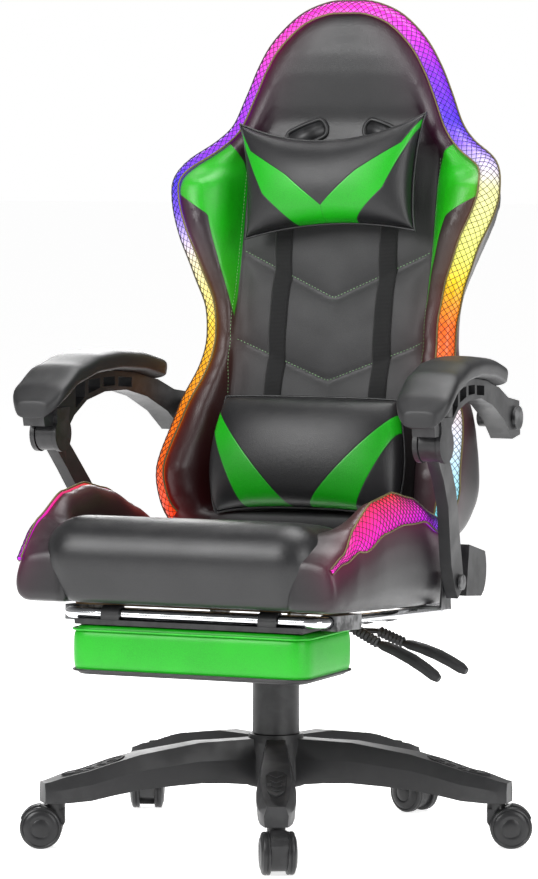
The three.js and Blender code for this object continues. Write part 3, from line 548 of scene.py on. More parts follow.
def netThread():
    # dark mesh threads that pick up a little of the light behind them
    material, tree, shader, where = newMaterial("netThread", roughness=0.5)
    shade = addNode(tree, "Attribute", attribute_name="glow").outputs["Color"]
    twist = addNode(tree, "TexNoise", {"Vector": where, "Scale": 900.0, "Detail": 2.0}).outputs["Fac"]
    wire(tree, blendColour(tree, remap(tree, twist, 0.3, 0.7), (0.004, 0.004, 0.004, 1),
                           (0.014, 0.014, 0.014, 1)), shader, "Base Color")
    wire(tree, addNode(tree, "VectorMath", {0: shade, 3: 0.06}, operation="SCALE").outputs[0], shader,
         "Emission Color")
    shader.inputs["Emission Strength"].default_value = 1.0
    bumped = addNode(tree, "Bump", {"Strength": 0.4, "Distance": 0.0002, "Height": twist})
    wire(tree, bumped.outputs[0], shader, "Normal")
    return material


# materials
blackLeather = leather("blackLeather", (0.013, 0.013, 0.014), (0.007, 0.007, 0.008), glow=True)
greenLeather = leather("greenLeather", (0.004, 0.40, 0.003), (0.002, 0.30, 0.002), roughness=0.38)
padRubber = leather("armPadSkin", (0.016, 0.016, 0.017), (0.011, 0.011, 0.012), roughness=0.42, cell=0.0012)
blackNylon = plastic("blackNylon", (0.013, 0.013, 0.014))
gripRubber = plastic("gripRubber", (0.008, 0.008, 0.009), roughness=0.6, cell=0.0006, bump=0.2)
wheelSkin = plastic("casterPlastic", (0.010, 0.010, 0.011), roughness=0.36)
blackSteel = metal("blackSteel", (0.42, 0.42, 0.43), 0.38, paint=(0.012, 0.012, 0.013))
brightSteel = metal("polishedSteel", (0.82, 0.83, 0.85), 0.16)
chrome = metal("brightTube", (0.88, 0.89, 0.91), 0.12)
webbing = webbingCloth()
plywood = plywoodSheet()
lamp = lampFilm()
thread = netThread()
goldCord = leather("pipingCord", (0.16, 0.12, 0.03), (0.09, 0.07, 0.02), roughness=0.5, cell=0.0009)
print("chair: materials made")

# backrest numbers, in millimetres: half width against height, and how far the rim stands forward
backShape = dict(
    side=[(0, 22), (165, 22), (212, 44), (228, 80), (231, 118), (218, 205), (196, 270), (190, 325),
          (196, 375), (220, 440), (246, 505), (252, 548), (238, 582), (200, 612), (176, 640), (157, 684),
          (138, 727), (114, 765), (76, 800), (34, 817), (0, 819)],
    edge=[(22, 34), (80, 62), (118, 70), (208, 38), (314, 12), (367, 18), (415, 38), (468, 54), (545, 52),
          (600, 20), (637, 8), (683, 10), (765, 20), (819, 24)],
    stripDepth=[(22, 16), (118, 24), (314, 15), (415, 20), (530, 27), (600, 20), (640, 15), (819, 12)],
    wallOut=[(22, 6), (118, 14), (250, 12), (330, 6), (420, -6), (530, -14), (640, -4), (819, 0)],
    inner=14, outer=8, rise=3,
    dome=[(22, 0), (60, 0), (650, 0), (680, 12), (715, 26), (750, 32), (790, 29), (819, 24)],
    rear=72, crest=34, crestRise=8, panel=152, perSide=96,
)
stripColours = dict(
    # colour against height along each side of the back, low to high
    right=[(22, (1.0, 0.03, 0.0)), (90, (1.0, 0.08, 0.0)), (190, (1.0, 0.20, 0.0)), (280, (1.0, 0.45, 0.0)),
           (340, (1.0, 0.70, 0.05)), (390, (1.0, 0.88, 0.30)), (430, (1.0, 0.90, 0.60)),
           (465, (0.62, 0.50, 1.0)), (500, (0.20, 0.08, 1.0)), (550, (0.06, 0.03, 0.95)),
           (600, (0.30, 0.03, 0.95)), (680, (0.45, 0.03, 0.95)), (750, (0.95, 0.05, 0.60)),
           (819, (1.0, 0.02, 0.65))],
    left=[(22, (0.05, 0.85, 0.95)), (90, (0.35, 0.85, 1.0)), (170, (0.80, 0.88, 1.0)),
          (235, (1.0, 0.75, 0.75)), (290, (1.0, 0.15, 0.02)), (340, (1.0, 0.14, 0.0)),
          (370, (1.0, 0.32, 0.0)), (405, (1.0, 0.70, 0.0)),
          (440, (0.95, 0.95, 0.16)), (540, (0.95, 0.93, 0.42)), (575, (0.82, 0.74, 1.0)),
          (610, (0.30, 0.14, 1.0)), (650, (0.10, 0.03, 1.0)), (720, (0.28, 0.02, 0.95)),
          (770, (0.75, 0.02, 0.85)), (819, (1.0, 0.02, 0.65))],
)
lampStrength = dict(film=1.0, leather=0.09, haze=(0.62, 0.015, 0.05))


def backLine(perSide):
    half = evenly(smoothLine(backShape["side"]), perSide)
    return half + [(-x, z) for x, z in reversed(half[1:-1])]


def movedOut(line, distance):
    out = []
    for index, (x, z) in enumerate(line):
        ahead, behind = line[(index + 1) % len(line)], line[index - 1]
        tx, tz = ahead[0] - behind[0], ahead[1] - behind[1]
        length = hypot(tx, tz) or 1
        step = distance(z)
        out.append((x + tz / length * step, z - tx / length * step))
    return out


def rimForward(z):
    return follow(backShape["edge"], z)


def backRings():
    # sections from the middle of the front, over the rim, to the middle of the rear, in the back's frame
    line = backLine(backShape["perSide"])
    dome = backShape["dome"]
    panel, rear, crest = backShape["panel"], backShape["rear"], backShape["crest"]
    inner, outer = -backShape["inner"], backShape["outer"]
    wall = lambda z: follow(backShape["wallOut"], z)
    low = lambda z: rimForward(z) - follow(backShape["stripDepth"], z)

    def foot(x, z):
        wide = max(0.0, min(abs(x) - 44, panel))
        return (wide if x > 0 else -wide), min(max(z, 58), 775)

    feet = [foot(x, z) for x, z in line]
    crests = movedOut(line, lambda z: -crest)
    crests = [(x, min(max(z, 42), 790)) for x, z in crests]
    rings = []
    for share in (0.0, 0.34, 0.67):
        rings.append([(fx * share, follow(dome, fz), fz) for fx, fz in feet])
    rings.append([(fx, follow(dome, fz) * 0.9, fz) for fx, fz in feet])
    for share, rise in ((0.22, 0.34), (0.5, 0.72), (0.78, 0.95)):
        rings.append([(mix(fx, cx, share), mix(follow(dome, fz) * 0.9, rimForward(z) + 8, rise),
                       mix(fz, cz, share))
                      for (fx, fz), (cx, cz), (x, z) in zip(feet, crests, line)])
    rings.append([(cx, rimForward(z) + backShape["crestRise"], cz) for (cx, cz), (x, z) in zip(crests, line)])
    half = movedOut(line, lambda z: (inner - crest) * 0.5)
    rings.append([(hx, rimForward(z) + 6.5, hz) for (hx, hz), (x, z) in zip(half, line)])
    for share in (0.0, 0.5, 1.0):
        rings.append([(mx, mix(rimForward(z) + backShape["rise"], low(z), share), mz)
                      for (mx, mz), (x, z) in zip(movedOut(line, lambda z: mix(inner, outer, share)), line)])
    for inward, depth in ((wall, -24), (lambda z: wall(z) - 8, -42), (lambda z: -18, -rear + 12),
                          (lambda z: -34, -rear + 3), (lambda z: -55, -rear)):
        rings.append([(mx, min(depth, low(z) - 8) if depth > -30 else depth, mz)
                      for (mx, mz), (x, z) in zip(movedOut(line, inward), line)])
    for share in (0.6, 0.3, 0.0):
        rings.append([(mx * share, -rear, min(max(mz, 80), 760)) for mx, mz in movedOut(line, lambda z: -58)])
    return [[Vector((x, -n, z)) * mm for x, n, z in ring] for ring in rings]


def nearestStrip(x, z):
    # the strip's colour beside a point of the back
    side = "left" if x > 0 else "right"
    return colourAt(stripColours[side], z)


seams = dict(
    upper=lambda x: 381 + (451 - 381) * abs(x) / 152,
    lower=lambda x: 257 + (317 - 257) * abs(x) / 152,
    width=3.2, depth=4.2, wideWidth=14, wideDepth=2.6,
)


def seamDistance(x, z):
    # millimetres to the nearest sewn line on the front
    x = abs(x)
    found = 99.0
    if 58 < z < 600:
        found = abs(x - 152)
    if x < 152:
        for name in ("upper", "lower"):
            found = min(found, abs(z - seams[name](x)) * 0.9)
    return found


def makeBackCushion():
    piece = ringSkin("backCushion", backRings(), closeEnds=False)
    remesh(piece, 0.0068)
    relax(piece, 2)

    def held(co):
        x, n, z = co.x * 1000, -co.y * 1000, co.z * 1000
        if n < -12:
            return 1.0
        near = 1 - ease(seamDistance(x, z), 3, 26)
        rim = ease(n, rimForward(z) - 30, rimForward(z) - 6) if abs(x) > 160 or z > 620 else 0.0
        return max(near, rim, 0.12)

    puff(piece, held, pressure=4.0, cap=0.013)
    for vertex in piece.data.vertices:
        x, n, z = vertex.co.x * 1000, -vertex.co.y * 1000, vertex.co.z * 1000
        if n < -14:
            continue
        d = seamDistance(x, z)
        sink = seams["depth"] * exp(-(d / seams["width"]) ** 2) + seams["wideDepth"] * exp(
            -(d / seams["wideWidth"]) ** 2)
        if abs(x) < 150 and 60 < z < 600:
            sink -= 2.2 * exp(-((d - 40) / 28) ** 2)
        vertex.co.y += sink * mm
    change = piece.modifiers.new("finer", "SUBSURF")
    change.levels = change.render_levels = 1
    apply(piece)
    piece.data.shade_smooth()
    keepLayout(piece)
    mesh = piece.data
    tree = BVHTree.FromPolygons([vertex.co.copy() for vertex in mesh.vertices],
                                [tuple(face.vertices) for face in mesh.polygons])

    def spill(co):
        x, n, z = co.x * 1000, -co.y * 1000, co.z * 1000
        depth = rimForward(z) + 8 - n
        width = follow(backShape["stripDepth"], z)
        far = max(depth - width - 8, 0)
        line = follow(halfWidthAt, z) - backShape["inner"]
        far = hypot(far, max(0.0, line - abs(x)))
        level = exp(-far / 20) * lampStrength["leather"]
        return tuple(level * (0.3 * c + red) for c, red in zip(nearestStrip(x, z), lampStrength["haze"]))

    paint(piece, spill)
    finish(piece, "backrest", backSkin, "leather_black", backFrame, ("back_cushion",))
    return piece, tree


halfWidthAt = sorted((z, x) for x, z in evenly(smoothLine(backShape["side"]), 120) if z > 22.5)


def wingCurve(tree, height, points, handle="AUTO_CLAMPED"):
    # a smooth edge on the back: height in, half width out, both in metres
    curve = tree.nodes.new("ShaderNodeFloatCurve")
    tree.links.new(height, curve.inputs["Value"])
    line = curve.mapping.curves[0]
    line.points[0].location = (points[0][0] / 1000, points[0][1] / 1000)
    line.points[1].location = (points[-1][0] / 1000, points[-1][1] / 1000)
    for z, x in points[1:-1]:
        line.points.new(z / 1000, x / 1000)
    for point in line.points:
        point.handle_type = handle
    curve.mapping.use_clip = False
    curve.mapping.update()
    return curve.outputs[0]


def makeBackSkin():
    # one cover, three leathers: black, the green wings, and the matt grey panel, with their sewn edges
    material, tree, shader, where = newMaterial("backCover", **{"Specular IOR Level": 0.5})
    place = addNode(tree, "SeparateXYZ", {0: addNode(tree, "Attribute", attribute_name="layout").outputs[
        "Vector"]}).outputs
    half = calc(tree, "ABSOLUTE", place[0])
    height, depth = place[2], calc(tree, "MULTIPLY", place[1], -1.0)
    front = remap(tree, depth, -0.006, -0.002)
    inner = wingCurve(tree, height, [(0, 400), (340, 400), (341, 153.2), (545, 153.2), (566, 154.5),
                                     (585, 159), (600, 167), (612, 180), (622, 203), (623, 400),
                                     (1000, 400)], "VECTOR")
    outer = wingCurve(tree, height, [(0, 100), (340, 150), (420, 169), (498, 190), (500, 193), (534, 248),
                                     (536, 400), (1000, 400)], "VECTOR")
    insideInner = remap(tree, calc(tree, "SUBTRACT", half, inner), -0.0008, 0.0008)
    insideOuter = remap(tree, calc(tree, "SUBTRACT", outer, half), -0.0008, 0.0008)
    wing = calc(tree, "MULTIPLY", front, calc(tree, "MULTIPLY", insideInner, insideOuter))
    panel = calc(tree, "MULTIPLY", remap(tree, half, 0.1512, 0.1528, 1.0, 0.0),
                 calc(tree, "MULTIPLY", remap(tree, height, 0.610, 0.615, 1.0, 0.0), front))
    grain = useGroup(tree, leatherGrain, {"Vector": where, "Cell": 0.0016})
    fine = useGroup(tree, leatherGrain, {"Vector": where, "Cell": 0.0010})
    rub = useGroup(tree, edgeRub, {"Vector": where, "Amount": 0.3})
    dust = useGroup(tree, settledDust, {"Vector": where, "Amount": 0.05})
    tone = remap(tree, grain["Tone"], 0.25, 0.75)
    black = blendColour(tree, tone, (0.007, 0.007, 0.008, 1), (0.013, 0.013, 0.014, 1))
    green = blendColour(tree, tone, (0.002, 0.30, 0.002, 1), (0.004, 0.40, 0.003, 1))
    grey = blendColour(tree, remap(tree, fine["Tone"], 0.25, 0.75), (0.018, 0.018, 0.019, 1),
                       (0.032, 0.032, 0.033, 1))
    base = blendColour(tree, panel, black, grey)
    base = blendColour(tree, wing, base, green)
    base = blendColour(tree, rub["Mask"], base, (0.05, 0.05, 0.05, 1))
    base = blendColour(tree, dust["Mask"], base, (0.35, 0.34, 0.33, 1))
    wire(tree, base, shader, "Base Color")
    gloss = remap(tree, grain["Tone"], 0.2, 0.8, 0.38, 0.28)
    matt = calc(tree, "MULTIPLY_ADD", panel, 0.24, gloss)
    wire(tree, matt, shader, "Roughness")
    # the welt along each green edge
    gapInner = calc(tree, "ABSOLUTE", calc(tree, "SUBTRACT", half, inner))
    gapOuter = calc(tree, "ABSOLUTE", calc(tree, "SUBTRACT", outer, half))
    near = calc(tree, "MINIMUM", gapInner, gapOuter)
    span = calc(tree, "MULTIPLY", remap(tree, height, 0.336, 0.343),
                remap(tree, height, 0.618, 0.624, 1.0, 0.0))
    groove = calc(tree, "MULTIPLY", remap(tree, near, 0.0, 0.0032, 1.0, 0.0),
                  calc(tree, "MULTIPLY", span, front))
    grainHeight = calc(tree, "MULTIPLY", grain["Height"], 0.0006)
    relief = calc(tree, "MULTIPLY_ADD", groove, -0.0022, grainHeight)
    bumped = addNode(tree, "Bump", {"Strength": 0.22, "Distance": 1.0, "Height": relief})
    wire(tree, bumped.outputs[0], shader, "Normal")
    wire(tree, addNode(tree, "Attribute", attribute_name="glow").outputs["Color"], shader, "Emission Color")
    shader.inputs["Emission Strength"].default_value = 1.0
    return material


backSkin = makeBackSkin()
backCushion, coverTree = makeBackCushion()
print("chair: backrest cover", len(backCushion.data.vertices), "points")


# the lit strips: a glowing film under a net
def stripPath():
    # the rim's points from the foot of one side, over the head, to the foot of the other
    line = backLine(backShape["perSide"] * 2)
    low = movedOut(line, lambda z: backShape["outer"])
    kept = []
    for index, ((x, z), (lx, lz)) in enumerate(zip(line, low)):
        if z < 44 or (abs(x) < 1 and z < 100):
            continue
        ahead, behind = line[(index + 1) % len(line)], line[index - 1]
        along = Vector((ahead[0] - behind[0], 0, ahead[1] - behind[1])).normalized()
        side = Vector((along.z, 0, -along.x))
        start = Vector((x, -(rimForward(z) + backShape["rise"]), z)) - side * backShape["inner"]
        end = Vector((lx, -(rimForward(z) - follow(backShape["stripDepth"], z)), lz))
        rim = start.lerp(end, 0.5) + Vector((0, -1.5, 0)) + side * 1.5
        kept.append((start, rim, end, side))
    return kept


def stripPoint(path, u, v, lift):
    # across the strip, from its front edge to its rear edge; lift is the stand-off and the crown
    at = u * (len(path) - 1)
    k = min(int(at), len(path) - 2)
    share = at - k
    start, rim, end, side = (path[k][i].lerp(path[k + 1][i], share) for i in range(4))
    v = 0.02 + 0.96 * v
    first, second = (rim - start).length, (end - rim).length
    turn = first / (first + second)
    point = start * (1 - v) ** 2 + rim * 2 * v * (1 - v) + end * v * v
    corner = start.lerp(rim, v / turn) if v < turn else rim.lerp(end, (v - turn) / (1 - turn))
    point = point.lerp(corner, 0.62)
    slope = (rim - start).lerp(end - rim, v)
    out = slope.cross(path[k + 1][1] - path[k][1])
    out.normalize()
    if out.dot(side) + out.y * -0.5 < 0:
        out.negate()
    return (point + out * (lift[0] + sin(pi * v) * lift[1])) * mm


def makeFilm(name, path, columns, lift, colourOf):
    piece = gridSkin(name, columns, 8, lambda u, v: stripPoint(path, u, v, lift), uv=True)
    change = piece.modifiers.new("thickness", "SOLIDIFY")
    change.thickness = 0.0018
    change.offset = -1
    apply(piece)
    paint(piece, colourOf)
    return piece


def makeNet(name, path, columns, rows, lift, colourOf, size=0.0013):
    # a net of diamonds: the grid's faces are split to their middles, and the straight edges go
    bm = bmesh.new()
    bmesh.ops.create_grid(bm, x_segments=columns, y_segments=rows, size=1)
    straight = list(bm.edges)
    bmesh.ops.poke(bm, faces=bm.faces)
    inner = [edge for edge in straight if len(edge.link_faces) == 2]
    bmesh.ops.dissolve_edges(bm, edges=inner, use_verts=False)
    for vertex in bm.verts:
        vertex.co = stripPoint(path, (vertex.co.x + 1) / 2, (vertex.co.y + 1) / 2, lift)
    piece = finishMesh(bm, name)
    change = piece.modifiers.new("threads", "WIREFRAME")
    change.thickness = size
    change.use_even_offset = False
    change.use_boundary = True
    apply(piece)
    paint(piece, colourOf)
    return piece


def backGlow(co):
    colour = nearestStrip(co.x * 1000, co.z * 1000)
    return tuple(c * lampStrength["film"] for c in colour)


backPath = stripPath()
lift = (1.6, 4.0)
backFilm = makeFilm("backLightFilm", backPath, 260, lift, backGlow)
finish(backFilm, "backrest", lamp, "light_mesh", backFrame, ("back_light",))
backNet = makeNet("backLightNet", backPath, 170, 3, (lift[0] + 1.2, lift[1]), backGlow)
finish(backNet, "backrest", thread, "light_mesh", backFrame)


def stripPiping(name, path, body, frameOf, ends=(0.0, 1.0)):
    made = []
    for v, label in ((-0.02, "Front"), (1.02, "Rear")):
        points = [stripPoint(path, mix(*ends, k / 240), v, (2.6, 0.0)) for k in range(241)]
        piece = roundTube(name + label, points, 0.0014, sides=8)
        made.append(finish(piece, body, goldCord, "leather_black", frameOf))
    return made


stripPiping("backPiping", backPath, "backrest", backFrame)
print("chair: back strips")


# straps, slots and stitches on the back
def backSurface(x, z):
    # the cover's own height at a point of the front, in millimetres forward
    hit = coverTree.ray_cast(Vector((x, -200, z)) * mm, Vector((0, 1, 0)))
    return -hit[0].y * 1000 if hit[0] else 0.0


strapShape = dict(x=84, width=28, thickness=1.3, bottom=150, top=600)


def makeStrap(name, side):
    def place(u, v):
        x = side * strapShape["x"] + (v - 0.5) * strapShape["width"]
        z = mix(strapShape["bottom"], strapShape["top"], u)
        under = max(backSurface(x, z), backSurface(side * strapShape["x"], z) - 1.5)
        n = under + 1.7 - 1.1 * abs(2 * v - 1) ** 6
        return Vector((x, -n, z)) * mm

    piece = gridSkin(name, 150, 8, place)
    change = piece.modifiers.new("thickness", "SOLIDIFY")
    change.thickness = strapShape["thickness"] * mm
    change.offset = 0
    apply(piece)
    keepLayout(piece)
    return finish(piece, "backrest", webbing, "webbing", backFrame,
                  ("back_strap_left" if side > 0 else "back_strap_right",))


makeStrap("backStrapLeft", 1)
makeStrap("backStrapRight", -1)

slotShape = dict(middle=62, height=629, long=66, tall=30, rim=3.4, tilt=22.0)


def makeSlot(name, side):
    # a moulded ring that lines the strap slot, with the dark slot behind it
    half, r = slotShape["long"] / 2, slotShape["tall"] / 2
    points = []
    for k in range(49):
        a = 2 * pi * k / 48
        x = cos(a) * r * 0.8 + (half - r * 0.8) * max(-1, min(1, cos(a) * 2.2))
        z = sin(a) * r
        slope = -side * radians(slotShape["tilt"])
        place = (side * slotShape["middle"] + x * cos(slope) - z * sin(slope),
                 slotShape["height"] + x * sin(slope) + z * cos(slope))
        points.append(Vector((place[0], -(backSurface(*place) + 0.6), place[1])) * mm)
    ring = roundTube(name, points[:-1], slotShape["rim"] * mm, sides=12, closed=True)
    plate = ringSkin(name + "Well", [[p + Vector((0, -d * mm, 0)) for p in points[:-1]] for d in (-3.0, 0.6)])
    return finish(joinPieces(name, [ring, plate]), "backrest", blackNylon, "nylon", backFrame)


makeSlot("strapSlotLeft", 1)
makeSlot("strapSlotRight", -1)


def stitchRow(name, points, body, material, frameOf, length=3.4, gap=1.9, size=0.55, slot="leather_black"):
    # short thread loops laid end to end along a line on a cover, in millimetres
    marks = evenly([tuple(point) for point in points], max(2, int(sum(
        hypot(*(b - a for a, b in zip(p, q))) for p, q in zip(points, points[1:])) / (length + gap))))
    bm = bmesh.new()
    for a, b in zip(marks, marks[1:]):
        a, b = Vector(a), Vector(b)
        along = b - a
        if along.length < 1e-6:
            continue
        middle = (a + b) / 2
        turn = along.to_track_quat("X", "Z").to_matrix().to_4x4()
        place = Matrix.Translation(middle * mm) @ turn @ Matrix.Diagonal(
            (length / 2 * mm, size * mm, size * mm, 1))
        bmesh.ops.create_icosphere(bm, subdivisions=1, radius=1, matrix=place)
    piece = finishMesh(bm, name)
    return finish(piece, body, material, slot, frameOf)


def makeThread(name, colour):
    material, tree, shader, where = newMaterial(name, roughness=0.65)
    twist = addNode(tree, "TexWave", {"Vector": where, "Scale": 900.0}).outputs["Fac"]
    wire(tree, blendColour(tree, twist, (*(c * 0.6 for c in colour), 1), (*colour, 1)), shader, "Base Color")
    bumped = addNode(tree, "Bump", {"Strength": 0.4, "Distance": 0.0002, "Height": twist})
    wire(tree, bumped.outputs[0], shader, "Normal")
    return material


paleThread = makeThread("paleGreenThread", (0.30, 0.55, 0.26))


def onBack(line, lift=0.2):
    return [(x, -(backSurface(x, z) + lift), z) for x, z in line]


for label, seam in (("Upper", seams["upper"]), ("Lower", seams["lower"])):
    line = [(x, seam(x) + 2.6) for x in range(-149, 150, 2)]
    stitchRow("chevronStitch" + label, onBack(line), "backrest", paleThread, backFrame)
for side, label in ((1, "Left"), (-1, "Right")):
    line = [(side * 155.4, z) for z in range(66, 596, 2)]
    stitchRow("panelStitch" + label, onBack(line), "backrest", paleThread, backFrame)
print("chair: straps, slots and stitches")


# pillows
def pillowSkin(name, columns, rows, outline, bulge, middle, share):
    # two panels sewn together round their edge; bulge is their height off the seam
    bm = bmesh.new()
    for front in (1, -1):
        made = bmesh.ops.create_grid(bm, x_segments=columns, y_segments=rows, size=1)["verts"]
        for vertex in made:
            a, b = vertex.co.x, vertex.co.y
            x, z = outline(a, b)
            rise = bulge(a, b) * (share if front > 0 else 1 - share)
            vertex.co = Vector((x, -(middle + front * rise), z)) * mm
    return finishMesh(bm, name)


def stripedLeather(name, inner, outer):
    # black leather with two green bands; their edges are half widths against height
    material, tree, shader, where = newMaterial(name, **{"Specular IOR Level": 0.5})
    place = addNode(tree, "SeparateXYZ", {0: addNode(tree, "Attribute", attribute_name="layout").outputs[
        "Vector"]}).outputs
    half, height, front = calc(tree, "ABSOLUTE", place[0]), place[2], place[1]
    low, high = wingCurve(tree, height, inner, "VECTOR"), wingCurve(tree, height, outer, "VECTOR")
    band = calc(tree, "MULTIPLY", remap(tree, calc(tree, "SUBTRACT", half, low), -0.0007, 0.0007),
                remap(tree, calc(tree, "SUBTRACT", high, half), -0.0007, 0.0007))
    band = calc(tree, "MULTIPLY", band, remap(tree, front, -0.040, -0.036, 1.0, 0.0))
    near = calc(tree, "MINIMUM", calc(tree, "ABSOLUTE", calc(tree, "SUBTRACT", half, low)),
                calc(tree, "ABSOLUTE", calc(tree, "SUBTRACT", high, half)))
    grain = useGroup(tree, leatherGrain, {"Vector": where, "Cell": 0.0016})
    rub = useGroup(tree, edgeRub, {"Vector": where, "Amount": 0.3})
    dust = useGroup(tree, settledDust, {"Vector": where, "Amount": 0.05})
    tone = remap(tree, grain["Tone"], 0.25, 0.75)
    black = blendColour(tree, tone, (0.007, 0.007, 0.008, 1), (0.013, 0.013, 0.014, 1))
    base = blendColour(tree, band, black,
                       blendColour(tree, tone, (0.002, 0.30, 0.002, 1), (0.004, 0.40, 0.003, 1)))
    base = blendColour(tree, rub["Mask"], base, (0.05, 0.05, 0.05, 1))
    base = blendColour(tree, dust["Mask"], base, (0.35, 0.34, 0.33, 1))
    wire(tree, base, shader, "Base Color")
    wire(tree, remap(tree, grain["Tone"], 0.2, 0.8, 0.40, 0.30), shader, "Roughness")
    groove = remap(tree, near, 0.0, 0.0026, 1.0, 0.0)
    relief = calc(tree, "MULTIPLY_ADD", groove, -0.0016, calc(tree, "MULTIPLY", grain["Height"], 0.0006))
    bumped = addNode(tree, "Bump", {"Strength": 0.22, "Distance": 1.0, "Height": relief})
    wire(tree, bumped.outputs[0], shader, "Normal")
    return material


headShape = dict(
    corners=[(150, 645), (136, 470)], topMiddle=611, bottomMiddle=486, sideIn=10, depth=92, near=4.5,
    columns=64, rows=38, tilt=3.2,
)


def headOutline(a, b):
    (topX, topZ), (lowX, lowZ) = headShape["corners"]
    share = (b + 1) / 2
    top = mix(headShape["topMiddle"], topZ, abs(a) ** 2.1)
    low = mix(headShape["bottomMiddle"], lowZ, abs(a) ** 2.1)
    wide = mix(lowX, topX, share) - headShape["sideIn"] * (1 - b * b) ** 0.8
    return a * wide, mix(low, top, share)


def headBulge(a, b):
    return 0.86 * headShape["depth"] * max(0.0, (1 - a * a) * (1 - b * b)) ** 0.40


def swell(name, piece, middle, cap, edge=10):
    # the sewn edge stays put while the panels fill out
    def held(co):
        off = abs(-co.y * 1000 - middle)
        return 0.95 * (1 - ease(off, 2, edge)) + 0.02

    puff(piece, held, pressure=3.6, cap=cap)
    for vertex in piece.data.vertices:
        vertex.co.y = min(vertex.co.y, -headShape["near"] * mm)
    change = piece.modifiers.new("finer", "SUBSURF")
    change.levels = change.render_levels = 1
    apply(piece)
    piece.data.shade_smooth()
    keepLayout(piece)


def leanPillow(piece, tilt, centre):
    # a pillow on elastic straps never hangs quite square
    place = Matrix.Translation(Vector(centre) * mm)
    piece.data.transform(place @ Matrix.Rotation(radians(-tilt), 4, "Y") @ place.inverted())


headMiddle = headShape["near"] + headShape["depth"] * 0.42
headPillow = pillowSkin("headPillow", headShape["columns"], headShape["rows"], headOutline, headBulge,
                        headMiddle, 0.58)
swell("headPillow", headPillow, headMiddle, 0.010)
leanPillow(headPillow, headShape["tilt"], (0, 0, 560))
finish(headPillow, "head_pillow", stripedLeather("headPillowLeather", [(0, 0), (508, 0), (556, 56),
       (597, 120), (640, 148), (1000, 400)], [(0, 42), (480, 42), (530, 95), (640, 150), (1000, 150)]),
       "leather_black", backFrame, ("head_pillow",))

lumbarShape = dict(low=(140, 52), widest=(154, 160), top=(138, 226), topMiddle=228, bottomMiddle=64,
                   depth=104, near=4.5, columns=66, rows=38)


def lumbarOutline(a, b):
    share = (b + 1) / 2
    (lowX, lowZ), (_, _), (topX, topZ) = lumbarShape["low"], lumbarShape["widest"], lumbarShape["top"]
    top = mix(lumbarShape["topMiddle"], topZ, abs(a) ** 3)
    low = mix(lumbarShape["bottomMiddle"], lowZ, abs(a) ** 3)
    wide = mix(lowX, topX, share) + 15 * sin(pi * share ** 0.8)
    return a * wide, mix(low, top, share)


def lumbarBulge(a, b):
    return 0.88 * lumbarShape["depth"] * max(0.0, (1 - a * a) * (1 - b * b)) ** 0.36


lumbarMiddle = lumbarShape["near"] + lumbarShape["depth"] * 0.42
lumbarPillow = pillowSkin("lumbarPillow", lumbarShape["columns"], lumbarShape["rows"], lumbarOutline,
                          lumbarBulge, lumbarMiddle, 0.58)
swell("lumbarPillow", lumbarPillow, lumbarMiddle, 0.010)
finish(lumbarPillow, "lumbar_pillow", stripedLeather("lumbarPillowLeather", [(0, 0), (48, 0), (200, 139),
       (240, 170), (1000, 400)], [(0, 70), (48, 82), (200, 158), (240, 175), (1000, 175)]),
       "leather_black", backFrame, ("lumbar_pillow",))


def edgeLine(outline, middle, steps=60):
    # the sewn edge of a pillow, once round
    ring = [(-1 + 2 * k / steps, -1) for k in range(steps)] + [(1, -1 + 2 * k / steps) for k in range(steps)]
    ring += [(1 - 2 * k / steps, 1) for k in range(steps)] + [(-1, 1 - 2 * k / steps) for k in range(steps)]
    return [Vector((outline(a, b)[0], -middle, outline(a, b)[1])) * mm for a, b in ring]


headPiping = roundTube("headPillowPiping", edgeLine(headOutline, headMiddle), 0.0016, sides=8, closed=True)
leanPillow(headPiping, headShape["tilt"], (0, 0, 560))
finish(headPiping, "head_pillow", blackLeather, "leather_black", backFrame)
finish(roundTube("lumbarPillowPiping", edgeLine(lumbarOutline, lumbarMiddle), 0.0016, sides=8, closed=True),
       "lumbar_pillow", blackLeather, "leather_black", backFrame)
print("chair: pillows")


# seat
seatShape = dict(front=-364, rear=60, half=210, thick=112, roll=56, crossSeam=-236, sideSeam=152, endRound=54)


def seatProfile():
    front, rear, thick, roll = (seatShape[key] for key in ("front", "rear", "thick", "roll"))
    line = [(rear, 2), (rear + 1, thick - 40), (rear - 4, thick - 22), (rear - 16, thick - 13)]
    for k in range(1, 16):
        s = k / 15
        y = mix(rear - 16, front + roll, s)
        line.append((y, mix(thick - 12, thick + 12, ease(s, 0.45, 1.0))))
    for k in range(1, 13):
        a = pi / 2 + (pi * 0.62) * k / 12
        line.append((front + roll + roll * cos(a), thick + 12 - roll + roll * sin(a)))
    line += [(front + 12, 26), (front + 20, 8), (front + 34, 2)]
    return line


